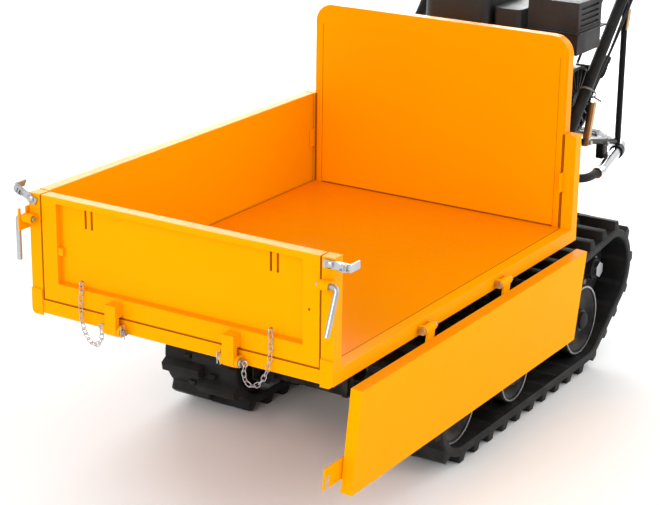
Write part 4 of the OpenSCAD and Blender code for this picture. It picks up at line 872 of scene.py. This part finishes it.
def bent_line(points, bend, steps=8):
    """The middle of a bent bar through points in mm: each inner corner becomes an arc of the bend's radius."""
    points, radius = [at(*point) for point in points], bend * MM
    line = [points[0]]
    for before, corner, after in zip(points, points[1:], points[2:]):
        way, way_out = (corner - before).normalized(), (after - corner).normalized()
        turn, axis = way.angle(way_out), way.cross(way_out).normalized()
        first = corner - way * radius * math.tan(turn / 2)
        centre = first + axis.cross(way) * radius
        line += [centre + Matrix.Rotation(turn * i / steps, 3, axis) @ (first - centre) for i in range(steps + 1)]
    return line + [points[-1]]


def sweep(bm, line, radius, sides=16):
    """A round bar along a line, its ring carried from point to point and its ends closed."""
    heading = (line[1] - line[0]).normalized()
    ring = bmesh.ops.create_circle(bm, cap_ends=True, segments=sides, radius=radius * MM,
                                   matrix=upright(line[0], heading))["verts"]
    edges = [e for e in bm.edges if e.verts[0] in ring and e.verts[1] in ring]
    for i in range(1, len(line)):
        after = (line[min(i + 1, len(line) - 1)] - line[i - 1]).normalized()
        swing = heading.rotation_difference(after).to_matrix().to_4x4()
        edges = next_ring(bm, edges, Matrix.Translation(line[i]) @ swing @ Matrix.Translation(-line[i - 1]))
        heading = after
    bmesh.ops.contextual_create(bm, geom=edges)


# %% Chromed guard and its sleeves
GUARD_Z, GUARD_BEND, GUARD_R, SLEEVE_R = 416, 40, 12.4, 9.2
half_guard = [(150, 1448), (226, 1392), (276, 1172), (275.6, 1150)]
half_sleeve = [(275.6, 1162), (274, 1080), (140, 1080)]
guard_path = [(-x, y, GUARD_Z) for x, y in reversed(half_guard)] + [(x, y, GUARD_Z) for x, y in half_guard]
bm = bmesh.new()
sweep(bm, bent_line(guard_path, GUARD_BEND), GUARD_R, sides=24)
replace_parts(piece("chromed_guard", bm, "guard_chrome"), "rear_guard")
bm = bmesh.new()
for side in (1, -1):
    sleeve = bent_line([(side * x, y, GUARD_Z) for x, y in half_sleeve], GUARD_BEND, steps=12)
    sweep(bm, sleeve, SLEEVE_R, sides=20)
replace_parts(piece("guard_bend_sleeves", bm, "soft_rubber"), "guard_sleeves")

# %% [markdown]
# ## Engine details
# A small four-stroke engine carries a spark plug with its lead, a carburettor behind the cylinder, an oil filler,
# feet bolted to the plate, and a tank made of two pressings joined at a seam. Each is a few turned or swept
# pieces, placed on the CAD's own casting.

# %% Spark plug and lead
bm = bmesh.new()
plug = [(0, -4), (9, -4), (9, 8), (6, 9), (6, 12), (8.6, 13), (8.6, 34), (7, 39), (4, 41), (0, 41)]
turned(bm, plug, at(65, 1006, 591), (0, -1, 0), steps=24)
lead = [(65, 972, 592), (66, 974, 625), (92, 1010, 650), (128, 1062, 652), (150, 1100, 632), (152, 1108, 600)]
sweep(bm, bent_line(lead, bend=9, steps=6), radius=3.2, sides=12)
piece("spark_plug_lead", bm, "soft_rubber")

# %% Carburettor


def flat_bar(bm, start, end, width, thick, across):
    """A flat bar between two points, its width towards across."""
    along = end - start
    thin = along.cross(Vector(across)).normalized()
    wide = thin.cross(along).normalized()
    axes = Matrix((wide * (width * MM), thin * (thick * MM), along)).transposed().to_4x4()
    bar = bmesh.ops.create_cube(bm, size=1, matrix=Matrix.Translation((start + end) / 2) @ axes)["verts"]
    round_edges(bm, edges_of(bar), thick * 0.2)


bm = bmesh.new()
block(bm, at(52, 1233, 596), at(92, 1262, 634), bevel=3)
bowl = [(0, -30), (14, -30), (16, -27), (16, -4), (18, -3), (18, 1), (0, 1)]
turned(bm, bowl, at(72, 1248, 597), (0, 0, 1), steps=28)
throat = [(0, 0), (15, 0), (15, 8), (13, 10), (0, 10)]
turned(bm, throat, at(72, 1261, 615), (0, 1, 0), steps=28)
for x in (56, 88):
    hex_bolt(bm, at(x, 1262, 628), (0, 1, 0), across=8, height=5, washer=6)
flat_bar(bm, at(48, 1250, 622), at(48, 1250, 652), width=8, thick=2, across=(0, 1, 0))
piece("carburettor", bm, "engine_alloy")

# %% Oil filler
bm = bmesh.new()
oil_cap = [(0, -2), (15, -2), (15, 3), (12, 5), (12, 14), (10, 16), (0, 16)]
turned(bm, oil_cap, at(12, 1234, 486), (0, 1, 0), steps=28)
flat_bar(bm, at(0, 1250, 486), at(24, 1250, 486), width=10, thick=5, across=(0, 1, 0))
piece("oil_filler", bm, "engine_black")

# %% Engine feet and case bolts
FEET_X, FEET_TOP = (6, 124), 464
CRANK_Y, CRANK_Z, STARTER_Z = 1160, 552, 566
feet, bolts = bmesh.new(), bmesh.new()
for x in FEET_X:
    for y0, y1, bolt_y in ((1068, 1087, 1076), (1233, 1254, 1245)):
        block(feet, at(x - 16, y0, 450.4), at(x + 16, y1, FEET_TOP), bevel=2.5)
        hex_bolt(bolts, at(x, bolt_y, FEET_TOP), (0, 0, 1), across=13, height=8, washer=10)
piece("engine_feet", feet, "engine_alloy")
bolt_circle(bolts, (-15, CRANK_Y, CRANK_Z), -1, radius=62, count=6, first=0.5, across=10, height=6, washer=8)
bolt_circle(bolts, (214.9, CRANK_Y, STARTER_Z), 1, radius=72, count=4, first=0.5, across=5, height=3)
for y in (1104, 1216):
    for z in (470, 612):
        hex_bolt(bolts, at(-116, y, z), (-1, 0, 0), across=8, height=4, washer=7)
piece("engine_bolts", bolts, "zinc")

# %% Tank seam


def rise(edge):
    return abs(edge.verts[0].co.z - edge.verts[1].co.z)


bm = bmesh.new()
block(bm, at(-125, 1055, 716), at(45, 1255, 719.5))
round_edges(bm, [e for e in bm.edges if rise(e) > MM], width=34, segments=6)
round_edges(bm, [e for e in bm.edges if rise(e) < 1e-6], width=1)
piece("tank_seam", bm, "engine_black")

# %% Fuel hose and exhaust outlet
bm = bmesh.new()
hose = [(-20, 1240, 662), (-20, 1240, 640), (-18, 1256, 612), (20, 1262, 600), (52, 1250, 606)]
sweep(bm, bent_line(hose, bend=8, steps=6), radius=3.6, sides=12)
piece("fuel_hose", bm, "soft_rubber")
bm = bmesh.new()
wall = [(9, -2), (11, -2), (11, 20), (10.6, 21), (9.4, 21), (9, 20), (9, -2)]
turned(bm, wall, at(190, 1205, 708), (0, 1, -0.35), steps=28)
piece("exhaust_outlet", bm, "muffler_grey")

# %% [markdown]
# ## Gearbox and frame details
# The gearbox is a casting in two halves, bolted together at a flange and stiffened by ribs. It hangs between two
# plates of the frame by eight bolts. Weld beads show where the frame's uprights meet its beams: each is a thin
# bar swept along the joint.

# %% Gearbox casting
bm = bmesh.new()
block(bm, at(-5, 1093, 136), at(5, 1223, 304), bevel=2)
for x in (-44, -24, 24, 44):
    for y0, y1 in ((1090, 1099), (1217, 1226)):
        block(bm, at(x - 3, y0, 150), at(x + 3, y1, 288), bevel=1.5)
breather = [(0, -2), (12, -2), (12, 5), (8, 6), (8, 11), (0, 11)]
turned(bm, breather, at(30, 1200, 301), (0, 0, 1), steps=24)
piece("gearbox_ribs", bm, "cast_grey")
bm = bmesh.new()
for side in (1, -1):
    for y in (1108, 1206):
        for z in (158, 286):
            hex_bolt(bm, at(side * 70, y, z), (side, 0, 0), across=13, height=7, washer=10)
for z in (160, 200, 240, 280):
    hex_bolt(bm, at(5, 1219, z), (1, 0, 0), across=6, height=4)
piece("gearbox_bolts", bm, "zinc")

# %% Weld beads
BEAD_R, BEAD_WAVE, BEAD_STEPS = 2.4, 0.6, 9
bm = bmesh.new()
for side in (1, -1):
    for x in (100, 140):
        for z in (138, 408):
            bead = [at(side * x, 985 + i * 5, z + BEAD_WAVE * math.sin(i * 2.1)) for i in range(BEAD_STEPS)]
            sweep(bm, bead, BEAD_R, sides=8)
    bead = [at(side * (104 + i * 4), 1025, 408 + BEAD_WAVE * math.sin(i * 2.3)) for i in range(BEAD_STEPS)]
    sweep(bm, bead, BEAD_R, sides=8)
piece("weld_beads", bm, "frame_black")

# %% [markdown]
# ## Stays and cable ties
# A gold-zinc angle stays each handlebar, bolted at its foot to a black rail that runs back to the strut. A clamp
# with two bolts holds the rail. The cables are held to the bars with pale ties: a flat ring round tube and
# cables, with a cut tail.

# %% Handlebar stays
ANGLE_W, ANGLE_T = 12, 2.5
bm = bmesh.new()
for side in (1, -1):
    top, foot = at(side * 246, 1166, 566), at(side * 247, 1138, 474)
    flat_bar(bm, top, foot, ANGLE_W, ANGLE_T, (1, 0, 0))
    out = Vector((side * 7, 5, 0)) * MM
    flat_bar(bm, top + out, foot + out, ANGLE_W, ANGLE_T, (0, 1, 0))
    flat_bar(bm, at(side * 244, 1338, 694), at(side * 246, 1342, 740), width=13, thick=3, across=(0, 1, 0))
piece("handlebar_stays", bm, "zinc", finish="gold_zinc")

# %% Stay rails and clamps


def side_block(bm, side, low, high, **rounding):
    """A block between two corners in mm on the machine's right, or its mirror image on the left."""
    near, far = sorted((side * low[0], side * high[0]))
    block(bm, at(near, *low[1:]), at(far, *high[1:]), **rounding)


rails, bolts = bmesh.new(), bmesh.new()
for side in (1, -1):
    sweep(rails, [at(side * 243, 1132, 486), at(side * 238, 1322, 442)], radius=6)
    side_block(rails, side, (225, 1250, 418), (243, 1276, 462), bevel=2.5)
    for z in (428, 452):
        hex_bolt(bolts, at(side * 243, 1263, z), (side, 0, 0), across=9, height=6, washer=6)
    hex_bolt(bolts, at(side * 254, 1146, 482), (side, 0, 0), across=10, height=6, washer=8)
piece("stay_rails", rails, "frame_black")
piece("stay_bolts", bolts, "zinc")

# %% Cable boots
boot = [(3, 0), (7, 1), (8.5, 4), (8.5, 15), (6.5, 17), (8, 19), (8, 23), (6.5, 25), (8.5, 27), (8.5, 44),
        (6, 52), (3, 54), (3, 0)]
bm = bmesh.new()
for side in (1, -1):
    top, foot = at(side * 184, 1384, 619), at(side * 170, 1371, 566)
    turned(bm, boot, top, foot - top, steps=24)
piece("cable_boots", bm, "soft_rubber")

# %% Cable ties
BAR_RISE, BAR_FOOT_Y, BAR_FOOT_Z = 1.055, 1045, 463
bar_way = Vector((0, 1, BAR_RISE)).normalized()
tie = [(19.5, -2.2), (20.7, -2.2), (20.7, 2.2), (19.5, 2.2), (19.5, -2.2)]
bm = bmesh.new()
for side in (1, -1):
    for y in (1163, 1425):
        middle = at(side * 236, y, BAR_FOOT_Z + (y - BAR_FOOT_Y) * BAR_RISE)
        turned(bm, tie, middle, bar_way)
        tail = [middle + Vector(step) * MM for step in ((side * 17, -6, -6), (side * 36, -4, -15))]
        flat_bar(bm, *tail, width=4, thick=1.3, across=bar_way)
piece("cable_ties", bm, "rope")

# %% [markdown]
# ## Behind the gate
# The gate closes against a flange on each post, which keeps gravel from running out through the gap. The paired
# slits in the gate open into small closed pockets for a stake or a strap, so they look dark from the front.

# %% Gate stops and slit pockets
POCKET = [((179, 15, 503), (221, 22.8, 505.5)), ((179, 15, 545.5), (221, 22.8, 548)),
          ((179, 15, 503), (181.5, 22.8, 548)), ((218.5, 15, 503), (221, 22.8, 548)),
          ((179, 21.4, 503), (221, 23, 548))]
stops, pockets = bmesh.new(), bmesh.new()
for side in (1, -1):
    side_block(stops, side, (290, 24.2, 360), (303, 27, 556), bevel=0.6)
    for low, high in POCKET:
        side_block(pockets, side, low, high, bevel=0.5, segments=1)
piece("gate_stops", stops, "tray_yellow", "tray")
piece("slit_pockets", pockets, "tray_yellow", "front_gate")

# %% [markdown]
# ## Folded edges of the headboard and the side
# The headboard's sheet is folded back along both edges. Thin dark brown bars are painted shade: in the slot
# between the fold and the post, in the gaps where the floor meets the headboard and the rails, and round the gate.
# Bars in the floor's deeper orange are painted shade in the corners of the gate's recess and on the upper edge of
# the folded side. Thin bars with rounded edges show all of these, and the side's bar is made upright and then
# turned down about the hinge.

# %% Headboard folds and painted gap shade
REAR_Y, HEADBOARD_TOP, POST_TOP = 920, 715, 558
BACK_Y = REAR_Y + 0.4
# The thin dark brown bars below are painted shade in the gaps round the headboard, the rails and the gate.
folds, gap_shades = bmesh.new(), bmesh.new()
for side in (1, -1):
    side_block(folds, side, (283.6, REAR_Y - 1.1, 360), (296.5, BACK_Y, HEADBOARD_TOP), bevel=0.5)
    side_block(gap_shades, side, (296.8, REAR_Y - 0.5, TRAY_Z + 0.6), (301.9, BACK_Y, POST_TOP), bevel=0.2, segments=1)
    side_block(gap_shades, side, (282.7, REAR_Y - 0.3, 362), (283.3, BACK_Y, HEADBOARD_TOP), bevel=0.05, segments=1)
    side_block(gap_shades, side, (301.7, 26, TRAY_Z - 0.4), (303.3, REAR_Y - 1, TRAY_Z + 0.2), bevel=0.1, segments=1)
    side_block(gap_shades, side, (299, 2, 360), (302.8, 4, 556), bevel=0.2, segments=1)
block(gap_shades, at(-283, REAR_Y - 0.6, TRAY_Z - 0.2), at(283, BACK_Y, TRAY_Z + 3.2), bevel=0.2, segments=1)
block(gap_shades, at(-302, -0.3, TRAY_Z - 2.6), at(302, 0.4, TRAY_Z), bevel=0.1, segments=1)
piece("headboard_folds", folds, "floor_orange", "tray", finish="headboard_orange")
piece("painted_gap_shade_bars", gap_shades, "floor_orange", "tray", finish="painted_gap_shade")

# %% Gate recess and side edge
RECESS_X, SHADE_Y = 265.6, 11.5
bm = bmesh.new()
# Bars in the floor's deeper orange are painted shade along the recess's left wall and its bottom ledge.
block(bm, at(-RECESS_X, SHADE_Y, 397.6), at(6.1 - RECESS_X, SHADE_Y + 0.8, 545), bevel=0.2, segments=1)
block(bm, at(-RECESS_X, SHADE_Y, 393), at(RECESS_X, SHADE_Y + 0.8, 397.5), bevel=0.2, segments=1)
piece("gate_recess_shade", bm, "tray_yellow", "front_gate", finish="floor_orange")
HINGE, FOLD_ANGLE = at(337, 0, 341), math.radians(185.2)
bm = bmesh.new()
# A bar in the floor's deeper orange is painted shade on the folded side's upper edge.
block(bm, at(305.8, 31, 358.65), at(326.2, 914, 359.1), bevel=0.15, segments=1)
bmesh.ops.transform(bm, matrix=about(HINGE, Matrix.Rotation(FOLD_ANGLE, 4, "Y")), verts=bm.verts)
piece("side_right_painted_shade", bm, "tray_yellow", "side_right", finish="floor_orange")

# %% [markdown]
# ## Clasp keepers
# Each clasp is a zinc strap that swings on a rivet, with a folded keeper near its end. The keeper is two small
# cheeks with a pin across. Both are made as the right one, and the left one is turned up with its strap and
# mirrored.

# %% Rivets and keepers
CLASP, CLASP_TURN = at(320, 0, 548), math.radians(25)
rivet = [(0, 9.6), (3, 9.4), (6, 8.2), (7.2, 7), (7.2, 4.6), (0, 4.6)]
turned_up = about(CLASP, Matrix.Rotation(-CLASP_TURN, 4, "Y"))
mirrored = about(at(0, 0, 0), Matrix.Diagonal((-1, 1, 1, 1)))
for side, label in SIDES:
    bm = bmesh.new()
    turned(bm, rivet, CLASP, (0, -1, 0), steps=24)
    for z in (542.5, 553.5):
        block(bm, at(339, -9.2, z - 1), at(356, -4.2, z + 1), bevel=0.6)
    sweep(bm, [at(348, -7.1, 540.5), at(348, -7.1, 555.5)], radius=2, sides=12)
    block(bm, at(351, -9, 543), at(354, -4.2, 553), bevel=0.6)
    if label == "left":
        bmesh.ops.transform(bm, matrix=mirrored @ turned_up, verts=bm.verts)
    piece(f"clasp_keeper_{label}", bm, "zinc", f"clasp_{label}")

# %% [markdown]
# ## Starter cord
# At rest only the grip shows, close to the housing. When it is pulled, the cord follows it out, so this piece
# is cut into many short lengths from the engine to the grip.

# %% Starter cord
CORD_R, LENGTHS = 2.2, 30
bm = bmesh.new()
low, high = at(196, 1228, 603), at(196, 1228, 618)
sweep(bm, [low.lerp(high, i / LENGTHS) for i in range(LENGTHS + 1)], CORD_R, sides=10)
cord = piece("starter_cord", bm, "rope", None)
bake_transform(cord)
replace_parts(cord, "starter_rope")

# %% [markdown]
# ## Sizes
# The CAD's box was printed at the start, and the dressed machine's box is printed here.

# %% Write the sizes and finish
low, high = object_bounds()
print("visual box:", [round(v, 3) for v in (*low, *high)])
